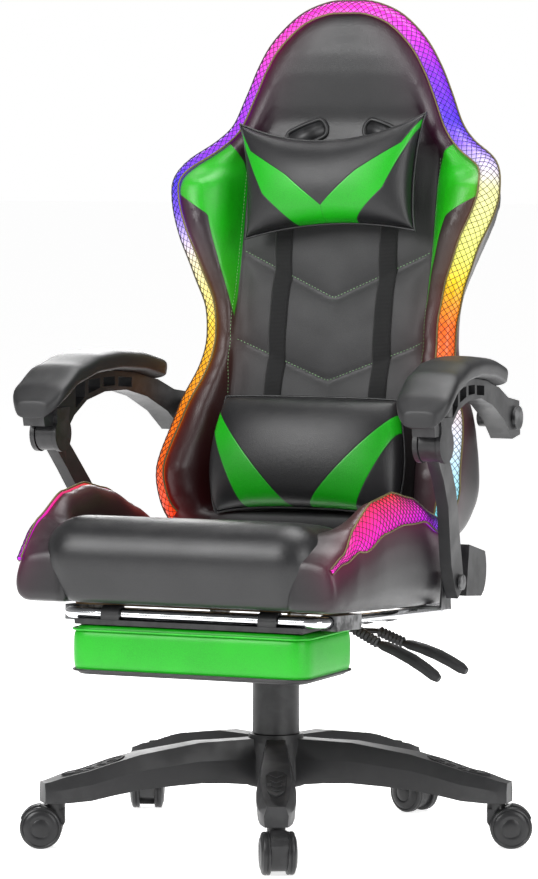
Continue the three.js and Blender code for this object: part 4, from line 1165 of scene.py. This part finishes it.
def makeSeatCushion():
    line = evenly(seatProfile(), 76)
    middle = (-306, 62)
    rings = []
    half = seatShape["half"]
    stations = [half * sin(pi / 2 * k / 30) for k in range(-30, 31)]
    for x in stations:
        ring = []
        for y, z in line:
            reach = mix(seatShape["endRound"], 12, ease(y, -300, -215))
            past = max(0.0, abs(x) - (half - reach)) / reach
            inset = reach * 0.92 * (1 - sqrt(max(0.0, 1 - past * past)))
            if y < middle[0]:
                away = Vector((y - middle[0], z - middle[1]))
                away *= max(4.0, away.length - inset) / away.length
                ring.append(Vector((x, middle[0] + away.x, middle[1] + away.y)) * mm)
            else:
                ring.append(Vector((x, y, max(2.0, z - inset) if z > 40 else z)) * mm)
        rings.append(ring)
    piece = ringSkin("seatCushion", rings)
    remesh(piece, 0.006)
    relax(piece, 2)

    def seam(co):
        x, y, z = co.x * 1000, co.y * 1000, co.z * 1000
        if z < 60:
            return 99.0
        found = abs(y - seatShape["crossSeam"])
        if y > seatShape["crossSeam"]:
            found = min(found, abs(abs(x) - seatShape["sideSeam"]))
        return found

    def held(co):
        x, y, z = co.x * 1000, co.y * 1000, co.z * 1000
        low = 1 - ease(z, 8, 40)
        ends = ease(abs(x), 192, 208)
        near = 1 - ease(seam(co), 3, 28)
        return max(low, ends, near, 0.10 if y > seatShape["crossSeam"] else 0.35)

    puff(piece, held, pressure=4.0, cap=0.011)
    for vertex in piece.data.vertices:
        d = seam(vertex.co)
        vertex.co.z -= (3.6 * exp(-(d / 3.0) ** 2) + 2.4 * exp(-(d / 13) ** 2)) * mm
    change = piece.modifiers.new("finer", "SUBSURF")
    change.levels = change.render_levels = 1
    apply(piece)
    piece.data.shade_smooth()
    keepLayout(piece)
    return piece


seatCushion = makeSeatCushion()
finish(seatCushion, "seat", blackLeather, "leather_black", seatFrame, ("seat_cushion",))

bolsterShape = dict(
    crest=[(-352, 70), (-325, 88), (-290, 118), (-220, 152), (-150, 163), (-80, 154), (0, 130), (55, 112)],
    outer=[(-352, 241), (-300, 252), (-220, 257), (-60, 256), (0, 251), (55, 250)],
    drop=[(-352, 22), (-250, 44), (-150, 44), (-60, 30), (55, 22)],
    inner=210.8, front=-353, rear=56, noseIn=166,
)
seatColours = dict(
    # along the strip from front to rear, on its inner and outer edge
    left=dict(inner=[(0.0, (1.0, 0.0, 0.45)), (0.25, (1.0, 0.02, 0.12)), (0.5, (1.0, 0.06, 0.02)),
                     (0.68, (0.85, 0.02, 0.45)), (0.85, (0.25, 0.05, 1.0)), (1.0, (0.10, 0.08, 1.0))],
              outer=[(0.0, (1.0, 0.0, 0.75)), (0.35, (1.0, 0.0, 0.68)), (0.6, (0.85, 0.0, 0.85)),
                     (0.8, (0.40, 0.02, 1.0)), (1.0, (0.12, 0.06, 1.0))]),
    right=dict(inner=[(0.0, (0.55, 0.0, 0.9)), (0.3, (1.0, 0.03, 0.25)), (0.55, (1.0, 0.08, 0.02)),
                      (0.75, (1.0, 0.0, 0.6)), (1.0, (1.0, 0.05, 0.02))],
               outer=[(0.0, (0.75, 0.0, 0.85)), (0.3, (1.0, 0.0, 0.5)), (0.6, (1.0, 0.04, 0.05)),
                      (1.0, (1.0, 0.05, 0.02))]),
)


def bolsterAt(y):
    inner = bolsterShape["inner"]
    crest, outer = follow(bolsterShape["crest"], y), follow(bolsterShape["outer"], y)
    low = crest - follow(bolsterShape["drop"], y)
    return inner, min(inner + 26, outer - 12), outer, crest, low


def makeBolster(name, side):
    rings = []
    front, rear = bolsterShape["front"], bolsterShape["rear"]
    for k in range(57):
        y = mix(front, rear, k / 56)
        inner, top, outer, crest, low = bolsterAt(y)
        nose = 1 - ease(y, -310, -225)
        edge = mix(inner, bolsterShape["noseIn"], nose)
        rise = mix(crest, min(crest + 12, 112), nose)
        shape = [(edge, 2), (edge, rise * 0.4), (edge + 1, rise - 30), (edge + 5, rise - 14),
                 (edge + 12, rise - 4), (mix(edge + 14, top, 0.6), mix(rise, crest, 0.6) + 1 - nose),
                 (top, crest - 0.5)]
        shape += [(mix(top, outer, s) + 1.2 * sin(pi * s), mix(crest, low, s)) for s in (0.33, 0.66)]
        shape += [(outer, low), (outer + 3.5, low * 0.78), (outer + 4.5, low * 0.5), (outer + 2, low * 0.22),
                  (outer - 9, 2)]
        near = min(ease(y, front - 4, front + 15), ease(rear + 4 - y, 0, 15))
        middle = ((inner + outer) / 2, crest * 0.45)
        shrink = 0.72 + 0.28 * sqrt(near)
        ring = [(middle[0] + (x - middle[0]) * shrink, max(2, middle[1] + (z - middle[1]) * shrink))
                for x, z in evenly(shape + [shape[0]], 44)[:-1]]
        rings.append([Vector((side * x, y, z)) * mm for x, z in ring])
    piece = ringSkin(name, rings)
    remesh(piece, 0.005)
    relax(piece, 3)

    def held(co):
        x, z = abs(co.x) * 1000, co.z * 1000
        inner, top, outer, crest, low = bolsterAt(co.y * 1000)
        return max(1 - ease(x, inner + 4, inner + 16), ease(z, low - 16, low - 4), 1 - ease(z, 8, 30), 0.3)

    puff(piece, held, pressure=3.0, cap=0.006)
    change = piece.modifiers.new("finer", "SUBSURF")
    change.levels = change.render_levels = 1
    apply(piece)
    piece.data.shade_smooth()

    def spill(co):
        inner, top, outer, crest, low = bolsterAt(co.y * 1000)
        x, z = abs(co.x) * 1000, co.z * 1000
        if x > (top + outer) / 2:
            gap = max(low - z, 0)
        else:
            gap = max(0, top - x) + max(0, crest - z - 6) * 0.6
        level = exp(-gap / 20) * lampStrength["leather"]
        return tuple(level * (0.3 * c + red) for c, red in zip(seatShade(side, co), lampStrength["haze"]))

    paint(piece, spill)
    return finish(piece, "seat", blackLeather, "leather_black", seatFrame,
                  ("seat_bolster_left" if side > 0 else "seat_bolster_right",))


def seatShade(side, co):
    inner, top, outer, crest, low = bolsterAt(co.y * 1000)
    u = (co.y * 1000 - bolsterShape["front"]) / (bolsterShape["rear"] - bolsterShape["front"])
    v = min(1, max(0, (crest - co.z * 1000) / (crest - low)))
    stops = seatColours["left" if side > 0 else "right"]
    first, second = colourAt(stops["inner"], u), colourAt(stops["outer"], u)
    return tuple(mix(a, b, v) for a, b in zip(first, second))


def seatPath(side):
    path = []
    for k in range(121):
        y = mix(-350, 52, k / 120)
        inner, top, outer, crest, low = bolsterAt(y)
        start, end = Vector((side * top, y, crest)), Vector((side * outer, y, low))
        taper = 0.44 * (1 - ease(y, -352, -262)) + 0.2 * ease(y, 10, 52)
        start, end = start.lerp(end, taper), end.lerp(start, taper)
        out = Vector((side * (crest - low), 0, outer - top)).normalized()
        path.append((start, start.lerp(end, 0.5) + out * 1.5, end, Vector((side, 0, 0.4))))
    return path


for side, label, node in ((1, "Left", "seat_light_left"), (-1, "Right", "seat_light_right")):
    makeBolster("seatBolster" + label, side)
    path = seatPath(side)
    shade = lambda co, side=side: tuple(c * lampStrength["film"] for c in seatShade(side, co))
    film = makeFilm("seatLightFilm" + label, path, 90, (1.2, 3.2), shade)
    finish(film, "seat", lamp, "light_mesh", seatFrame, (node,))
    net = makeNet("seatLightNet" + label, path, 34, 4, (2.3, 3.2), shade)
    finish(net, "seat", thread, "light_mesh", seatFrame)
    stripPiping("seatPiping" + label, path, "seat", seatFrame)
print("chair: seat")


# footrest
footShape = dict(width=365, depth=180, front=-311, top=331, thick=72, corner=26)


def roundedBox(width, depth, radius, steps=7):
    ring = []
    for sx, sy, start in ((1, 1, 0), (-1, 1, 90), (-1, -1, 180), (1, -1, 270)):
        for k in range(steps + 1):
            a = radians(start + 90 * k / steps)
            ring.append((sx * (width / 2 - radius) + radius * cos(a),
                         sy * (depth / 2 - radius) + radius * sin(a)))
    return ring


def padRing(inset, z, count=132):
    shape = roundedBox(footShape["width"] - 2 * inset, footShape["depth"] - 2 * inset,
                       max(4, footShape["corner"] - inset))
    line = evenly(shape + [shape[0]], count)[:-1]
    return [Vector((x, y + footShape["front"] + footShape["depth"] / 2, z)) * mm for x, y in line]


def makeFootPad():
    top, thick = footShape["top"], footShape["thick"]
    base = top - thick
    levels = [(60, base + 1.0), (30, base + 0.5), (9, base + 1.5), (3.5, base + 5), (1.2, base + 12),
              (0.6, base + 22), (0.4, base + 36), (0.6, base + 50), (1.4, base + 60), (4, base + 67),
              (9, base + 71), (30, top), (60, top)]
    rings = [padRing(inset, z) for inset, z in levels]
    piece = ringSkin("footrestPad", rings)
    remesh(piece, 0.0045)
    relax(piece, 2)

    def held(co):
        z = co.z * 1000
        seam = min(abs(z - base - 8), abs(z - top + 7))
        return max(1 - ease(seam, 2, 16), ease(z, top - 5, top - 1), 0.15)

    puff(piece, held, pressure=3.6, cap=0.006)
    for vertex in piece.data.vertices:
        z = vertex.co.z * 1000
        d = min(abs(z - base - 8), abs(z - top + 7))
        away = Vector((vertex.co.x * 0.4, vertex.co.y - (footShape["front"] + 90) * mm, 0))
        if away.length > 1e-6:
            vertex.co -= away.normalized() * 1.8 * mm * exp(-(d / 2.2) ** 2)
    change = piece.modifiers.new("finer", "SUBSURF")
    change.levels = change.render_levels = 1
    apply(piece)
    piece.data.shade_smooth()
    # painted shade: the underside, and a band above its seam, are black leather standing in for the shade
    # under the pad's rounded bottom edge
    piece.data.materials.append(greenLeather)
    piece.data.materials.append(blackLeather)
    for face in piece.data.polygons:
        face.material_index = 1 if face.center.z * 1000 < base + 7 else 0
    return finish(piece, "footrest_pad", greenLeather, "leather_green", chairFrame, ("footrest_pad",))


makeFootPad()
# the lower piping is black as part of the painted shade along the pad's bottom edge; the upper piping is
# green
for inset, height, label in ((-0.6, 267.2, "Lower"), (-0.6, 324.2, "Upper")):
    finish(roundTube("footrestPiping" + label, padRing(inset + 1.2, height), 0.0017, sides=8, closed=True),
           "footrest_pad", greenLeather if label == "Upper" else blackLeather, "leather_green", chairFrame)

tubeShape = dict(rail=195, drop=-14, bar=-290, end=147, corner=24, radius=8)


def makeFootTube():
    rail, end, bar, corner = (tubeShape[key] for key in ("rail", "end", "bar", "corner"))
    half = [(rail, mix(end, bar + corner, k / 24)) for k in range(25)]
    for k in range(1, 13):
        a = radians(90 * k / 12)
        half.append((rail - corner + corner * cos(a), bar + corner - corner * sin(a)))
    points = half + [(mix(rail - corner, corner - rail, k / 20), bar) for k in range(1, 20)]
    points += [(-x, y) for x, y in reversed(half)]
    line = [Vector((x, y, tubeShape["drop"])) * mm for x, y in points]
    piece = roundTube("footrestTube", line, tubeShape["radius"] * mm, sides=28)
    return finish(piece, "footrest_slide", chrome, "chrome", seatFrame, ("footrest_tube",))


makeFootTube()
print("chair: footrest")


# hard parts: a merged copy of the CAD body with its edges eased
def crisp(node, material, slot, edge=0.8, angle=32, segments=2, name=None):
    source = frame["nodes"][node]
    bm = bmesh.new()
    bm.from_mesh(source.data)
    bmesh.ops.remove_doubles(bm, verts=bm.verts, dist=2e-6)
    bmesh.ops.dissolve_limit(bm, angle_limit=radians(0.6), verts=bm.verts, edges=bm.edges)
    mesh = bpy.data.meshes.new(name or node + "_made")
    bm.to_mesh(mesh)
    bm.free()
    mesh.shade_smooth()
    mesh.set_sharp_from_angle(angle=radians(angle))
    piece = bpy.data.objects.new(mesh.name, mesh)
    bpy.context.scene.collection.objects.link(piece)
    mesh.materials.append(material)
    if edge:
        change = piece.modifiers.new("eased edges", "BEVEL")
        change.width = edge * mm
        change.segments = segments
        change.limit_method = "ANGLE"
        change.angle_limit = radians(angle)
        change.use_clamp_overlap = True
        change.harden_normals = True
    return finish(piece, source["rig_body"], material, slot, stands=(node,))


hardParts = dict(
    # node start: material, slot, edge in millimetres
    star_base=(blackNylon, "nylon", 1.4), gas_cylinder=(blackSteel, "steel", 0.6),
    lower_column_cover=(blackNylon, "nylon", 0.7), upper_column_cover=(blackNylon, "nylon", 0.7),
    gas_rod=(brightSteel, "chrome", 0.5), tilt_housing=(blackSteel, "steel", 1.6),
    tension_knob=(blackNylon, "nylon", 0.6), height_lever_rod=(blackNylon, "nylon", 0.25),
    tilt_lever_rod=(blackNylon, "nylon", 0.25), height_lever_paddle=(gripRubber, "nylon", 1.2),
    tilt_lever_paddle=(gripRubber, "nylon", 1.2), seat_plate=(blackSteel, "steel", 0.6),
    seat_board=(plywood, "plywood", 0.6), footrest_guide=(blackSteel, "steel", 0.8),
    recline_bracket=(blackSteel, "steel", 0.6), hinge_cover=(blackNylon, "nylon", 1.4),
    recline_lever=(blackNylon, "nylon", 1.4), footrest_board=(blackNylon, "nylon", 0.8),
    back_frame=(blackSteel, "steel", 0), arm_rear_pin=(blackSteel, "steel", 0.6),
    arm_strut=(blackNylon, "nylon", 2.2), arm_body=(blackNylon, "nylon", 1.8),
    caster_hood=(wheelSkin, "nylon", 1.0),
)
for node in sorted(frame["nodes"]):
    for start, (material, slot, edge) in hardParts.items():
        if node == start or (node.startswith(start + "_") and node[len(start) + 1:] in
                             ("left", "right", "1", "2", "3", "4", "5")):
            crisp(node, material, slot, edge)
print("chair: hard parts")

# casters
wheelShape = dict(radius=30, width=14, turns=[6, 18, -99, -36, -18], first=24)


def makeWheel(index, label, side):
    r, w = wheelShape["radius"], wheelShape["width"]
    profile = [(0.0, 1.0), (4.6, 1.0), (4.6, 0.2), (r - 2, 0.2), (r - 0.8, 0.6), (r, 1.6), (r, 4.2),
               (r - 0.7, 4.8), (r - 0.7, 5.6), (r, 6.2), (r, w - 5), (r - 0.5, w - 3.8), (r - 1.8, w - 2.4),
               (r - 3.6, w - 1.8), (r - 4.6, w - 2.4), (r - 5.6, w - 1.4), (r - 9, w + 0.2), (14, w + 0.9),
               (13, w + 0.3), (12, w + 0.9), (6, w + 1.7), (0.0, w + 1.9)]
    node = f"caster_wheel_{label}_{index + 1}"
    low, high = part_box(node)
    turn = wheelShape["first"] + 72 * index + wheelShape["turns"][index]
    across = Vector((cos(radians(turn)), sin(radians(turn)), 0))
    face = (low + high) / 2 - across * side * (w + 2) / 2 * mm
    spin = Matrix.Rotation(radians(turn), 4, "Z") @ Matrix.Rotation(radians(90 * side), 4, "Y")
    piece = lathe(f"casterWheel{label.capitalize()}{index + 1}",
                  [(a * mm, b * mm) for a, b in profile], Matrix.Translation(face) @ spin, steps=56)
    piece.data.set_sharp_from_angle(angle=radians(38))
    finish(piece, f"caster_{index + 1}_{label}_wheel", wheelSkin, "nylon", stands=(node,))


for index in range(5):
    makeWheel(index, "left", 1)
    makeWheel(index, "right", -1)
print("chair: casters")

# shield grips on the base's arms
gripShape = dict(start=228, tip=322, halfBack=15.5, halfFront=11.5, ribs=4, rib=2.3)


def armTop(r):
    return follow([(0, 146), (120, 143), (210, 130), (300, 107), (350, 101)], r)


def makeGrip(index):
    s = gripShape
    shape = [(s["start"], 0), (s["start"] + 6, 10), (s["start"] + 16, s["halfBack"]),
             (s["tip"] - 26, s["halfFront"] + 1), (s["tip"] - 10, s["halfFront"] - 3), (s["tip"], 0)]
    outline = shape + [(r, -w) for r, w in reversed(shape[1:-1])]
    outline = evenly(outline + [outline[0]], 72)[:-1]
    middle = (mix(s["start"], s["tip"], 0.5), 0)

    def ring(shrink, lift):
        made = []
        for r, w in outline:
            r, w = middle[0] + (r - middle[0]) * shrink, w * shrink
            made.append(Vector((w, -r, armTop(r) + lift)) * mm)
        return made

    parts = [ringSkin(f"gripPlate{index}", [ring(1.0, -2.0), ring(1.0, 0.5), ring(0.985, 1.1),
                                            ring(0.91, 1.1), ring(0.88, 0.35), ring(0.5, 0.35)])]
    for rib in range(s["ribs"]):
        at = mix(s["start"] + 26, s["tip"] - 20, rib / (s["ribs"] - 1))
        wide = 9.5 - rib * 0.9
        line = [(-wide, at - 9 + rib * 0.6), (0, at), (wide, at - 9 + rib * 0.6)]
        bm = bmesh.new()
        lower = [bm.verts.new(Vector((w, -r, armTop(r) + 0.3)) * mm) for w, r in line]
        lower += [bm.verts.new(Vector((w, -(r - s["rib"] * 1.25), armTop(r) + 0.3)) * mm)
                  for w, r in reversed(line)]
        bm.faces.new(lower[:2] + lower[4:])
        bm.faces.new(lower[1:5])
        lifted = bmesh.ops.extrude_face_region(bm, geom=list(bm.faces))["geom"]
        tops = [item for item in lifted if isinstance(item, bmesh.types.BMVert)]
        bmesh.ops.translate(bm, verts=tops, vec=(0, 0, 1.5 * mm))
        parts.append(finishMesh(bm, f"gripRib{index}{rib}"))
    piece = joinPieces(f"gripPanel{index + 1}", parts)
    piece.data.set_sharp_from_angle(angle=radians(30))
    turn = Matrix.Rotation(radians(wheelShape["first"] + 72 * index), 4, "Z")
    finish(piece, "base", gripRubber, "nylon", chairFrame @ turn)


for index in range(5):
    makeGrip(index)
print("chair: base grips")

# arm pads
armPadShape = dict(width=82, thick=30, centre=297, splay=-0.09, knuckle=-132,
                   under=[(-190, 607), (-165, 630), (-120, 654), (-60, 668), (0, 671), (60, 667), (141, 652)])


def makeArmPad(name, side, node):
    s = armPadShape
    rings = []
    middle = [mix(-170, 126, k / 30) for k in range(31)]
    stations = [-189, -187.5, -184, -178] + middle + [134, 138.5, 141, 142]
    for y in stations:
        near = min(ease(y, -196, -168), 1 - ease(y, 122, 146))
        shrink = 0.25 + 0.75 * sqrt(near)
        middle = s["centre"] + s["splay"] * (y - s["knuckle"]) - 3
        base = follow(s["under"], y)
        nose = 1 - ease(y, -186, -120)
        thick = s["thick"] * (0.72 + 0.28 * shrink)
        ring = []
        for k in range(40):
            a = 2 * pi * k / 40
            power = lambda c, p: (abs(c) ** p) * (1 if c > 0 else -1)
            x = s["width"] / 2 * shrink * power(cos(a), 0.62)
            z = power(sin(a), 0.55)
            z = thick / 2 * z + (1.6 * (1 - (x / (s["width"] / 2)) ** 2) if z > 0 else 0)
            ring.append(Vector((side * (middle + x), y, base + thick / 2 + z * (1 - 0.1 * nose))) * mm)
        rings.append(ring)
    piece = ringSkin(name, rings)
    # the parting line between the soft top and the hard base
    for vertex in piece.data.vertices:
        base = follow(s["under"], vertex.co.y * 1000)
        d = vertex.co.z * 1000 - base - 9
        middle = side * (s["centre"] + s["splay"] * (vertex.co.y * 1000 - s["knuckle"]) - 3) * mm
        vertex.co.x -= (vertex.co.x - middle) * 0.03 * exp(-(d / 1.6) ** 2)
    finish(piece, "armrest_left" if side > 0 else "armrest_right", padRubber, "leather_black", chairFrame,
           (node,), soft=1)
    return piece


makeArmPad("armPadLeft", 1, "arm_pad_left")
makeArmPad("armPadRight", -1, "arm_pad_right")
print("chair: arm pads")

# light, floor and camera
studio = dict(floor=0.92, floorGlow=0.72, world=0.28, backdrop=1.0, distance=6.6, height=1.01,
              azimuth=24.0, lens=187.9, aim=-0.010, pitch=3.76)


def makeFloor():
    bm = bmesh.new()
    bmesh.ops.create_grid(bm, x_segments=1, y_segments=1, size=60)
    floor = finishMesh(bm, "studioFloor")
    material, tree, shader, where = newMaterial("studioFloor", roughness=0.7)
    cloud = addNode(tree, "TexNoise", {"Vector": where, "Scale": 1.2, "Detail": 3.0}).outputs["Fac"]
    level = studio["floor"]
    pale = level + 0.03
    tint = blendColour(tree, cloud, (level, level, level, 1), (pale, pale, pale, 1))
    wire(tree, tint, shader, "Base Color")
    shader.inputs["Emission Color"].default_value = (1, 1, 1, 1)
    shader.inputs["Emission Strength"].default_value = studio["floorGlow"]
    floor.data.materials.append(material)


def makeLight(name, place, target, size, power, colour=(1, 1, 1)):
    data = bpy.data.lights.new(name, "AREA")
    data.shape = "RECTANGLE"
    data.size, data.size_y = size
    data.energy = power
    data.color = colour
    lightPiece = bpy.data.objects.new(name, data)
    lightPiece.location = place
    lightPiece.rotation_euler = (Vector(target) - Vector(place)).to_track_quat("-Z", "Y").to_euler()
    bpy.context.scene.collection.objects.link(lightPiece)
    return lightPiece


makeFloor()
makeLight("keyPanel", (-1.4, -3.2, 2.6), (0, 0, 0.7), (1.6, 2.2), 120)
makeLight("fillPanel", (3.2, -1.6, 1.9), (0, 0, 0.7), (1.4, 2.4), 60)
makeLight("topPanel", (0.2, 0.4, 3.4), (0, 0, 0.6), (2.2, 1.6), 70)
makeLight("rimPanel", (-1.5, 2.6, 2.0), (0, 0.1, 0.8), (1.2, 2.0), 50)

world = bpy.data.worlds.new("studioAir")
world.use_nodes = True
air = world.node_tree
seen = addNode(air, "LightPath").outputs["Is Camera Ray"]
air.nodes["Background"].inputs[0].default_value = (1, 1, 1, 1)
air.links.new(remap(air, seen, 0.0, 1.0, studio["world"], studio["backdrop"], smooth=False),
              air.nodes["Background"].inputs[1])
bpy.context.scene.world = world
bpy.context.scene.view_settings.view_transform = "Standard"

cameraData = bpy.data.cameras.new("camera")
cameraData.lens = studio["lens"]
cameraData.sensor_width = 36
cameraPiece = bpy.data.objects.new("camera", cameraData)
bpy.context.scene.collection.objects.link(cameraPiece)
angle = radians(studio["azimuth"])
toward = Vector((sin(angle), -cos(angle), 0))
right = Vector((cos(angle), sin(angle), 0))
centre = Vector((columnX, 0, 0)) + right * studio["aim"]
cameraPiece.location = centre + toward * studio["distance"] + Vector((0, 0, studio["height"]))
level = radians(90 - studio["pitch"])
cameraPiece.rotation_euler = (level, 0, angle)
bpy.context.scene.camera = cameraPiece
print("chair: studio made")
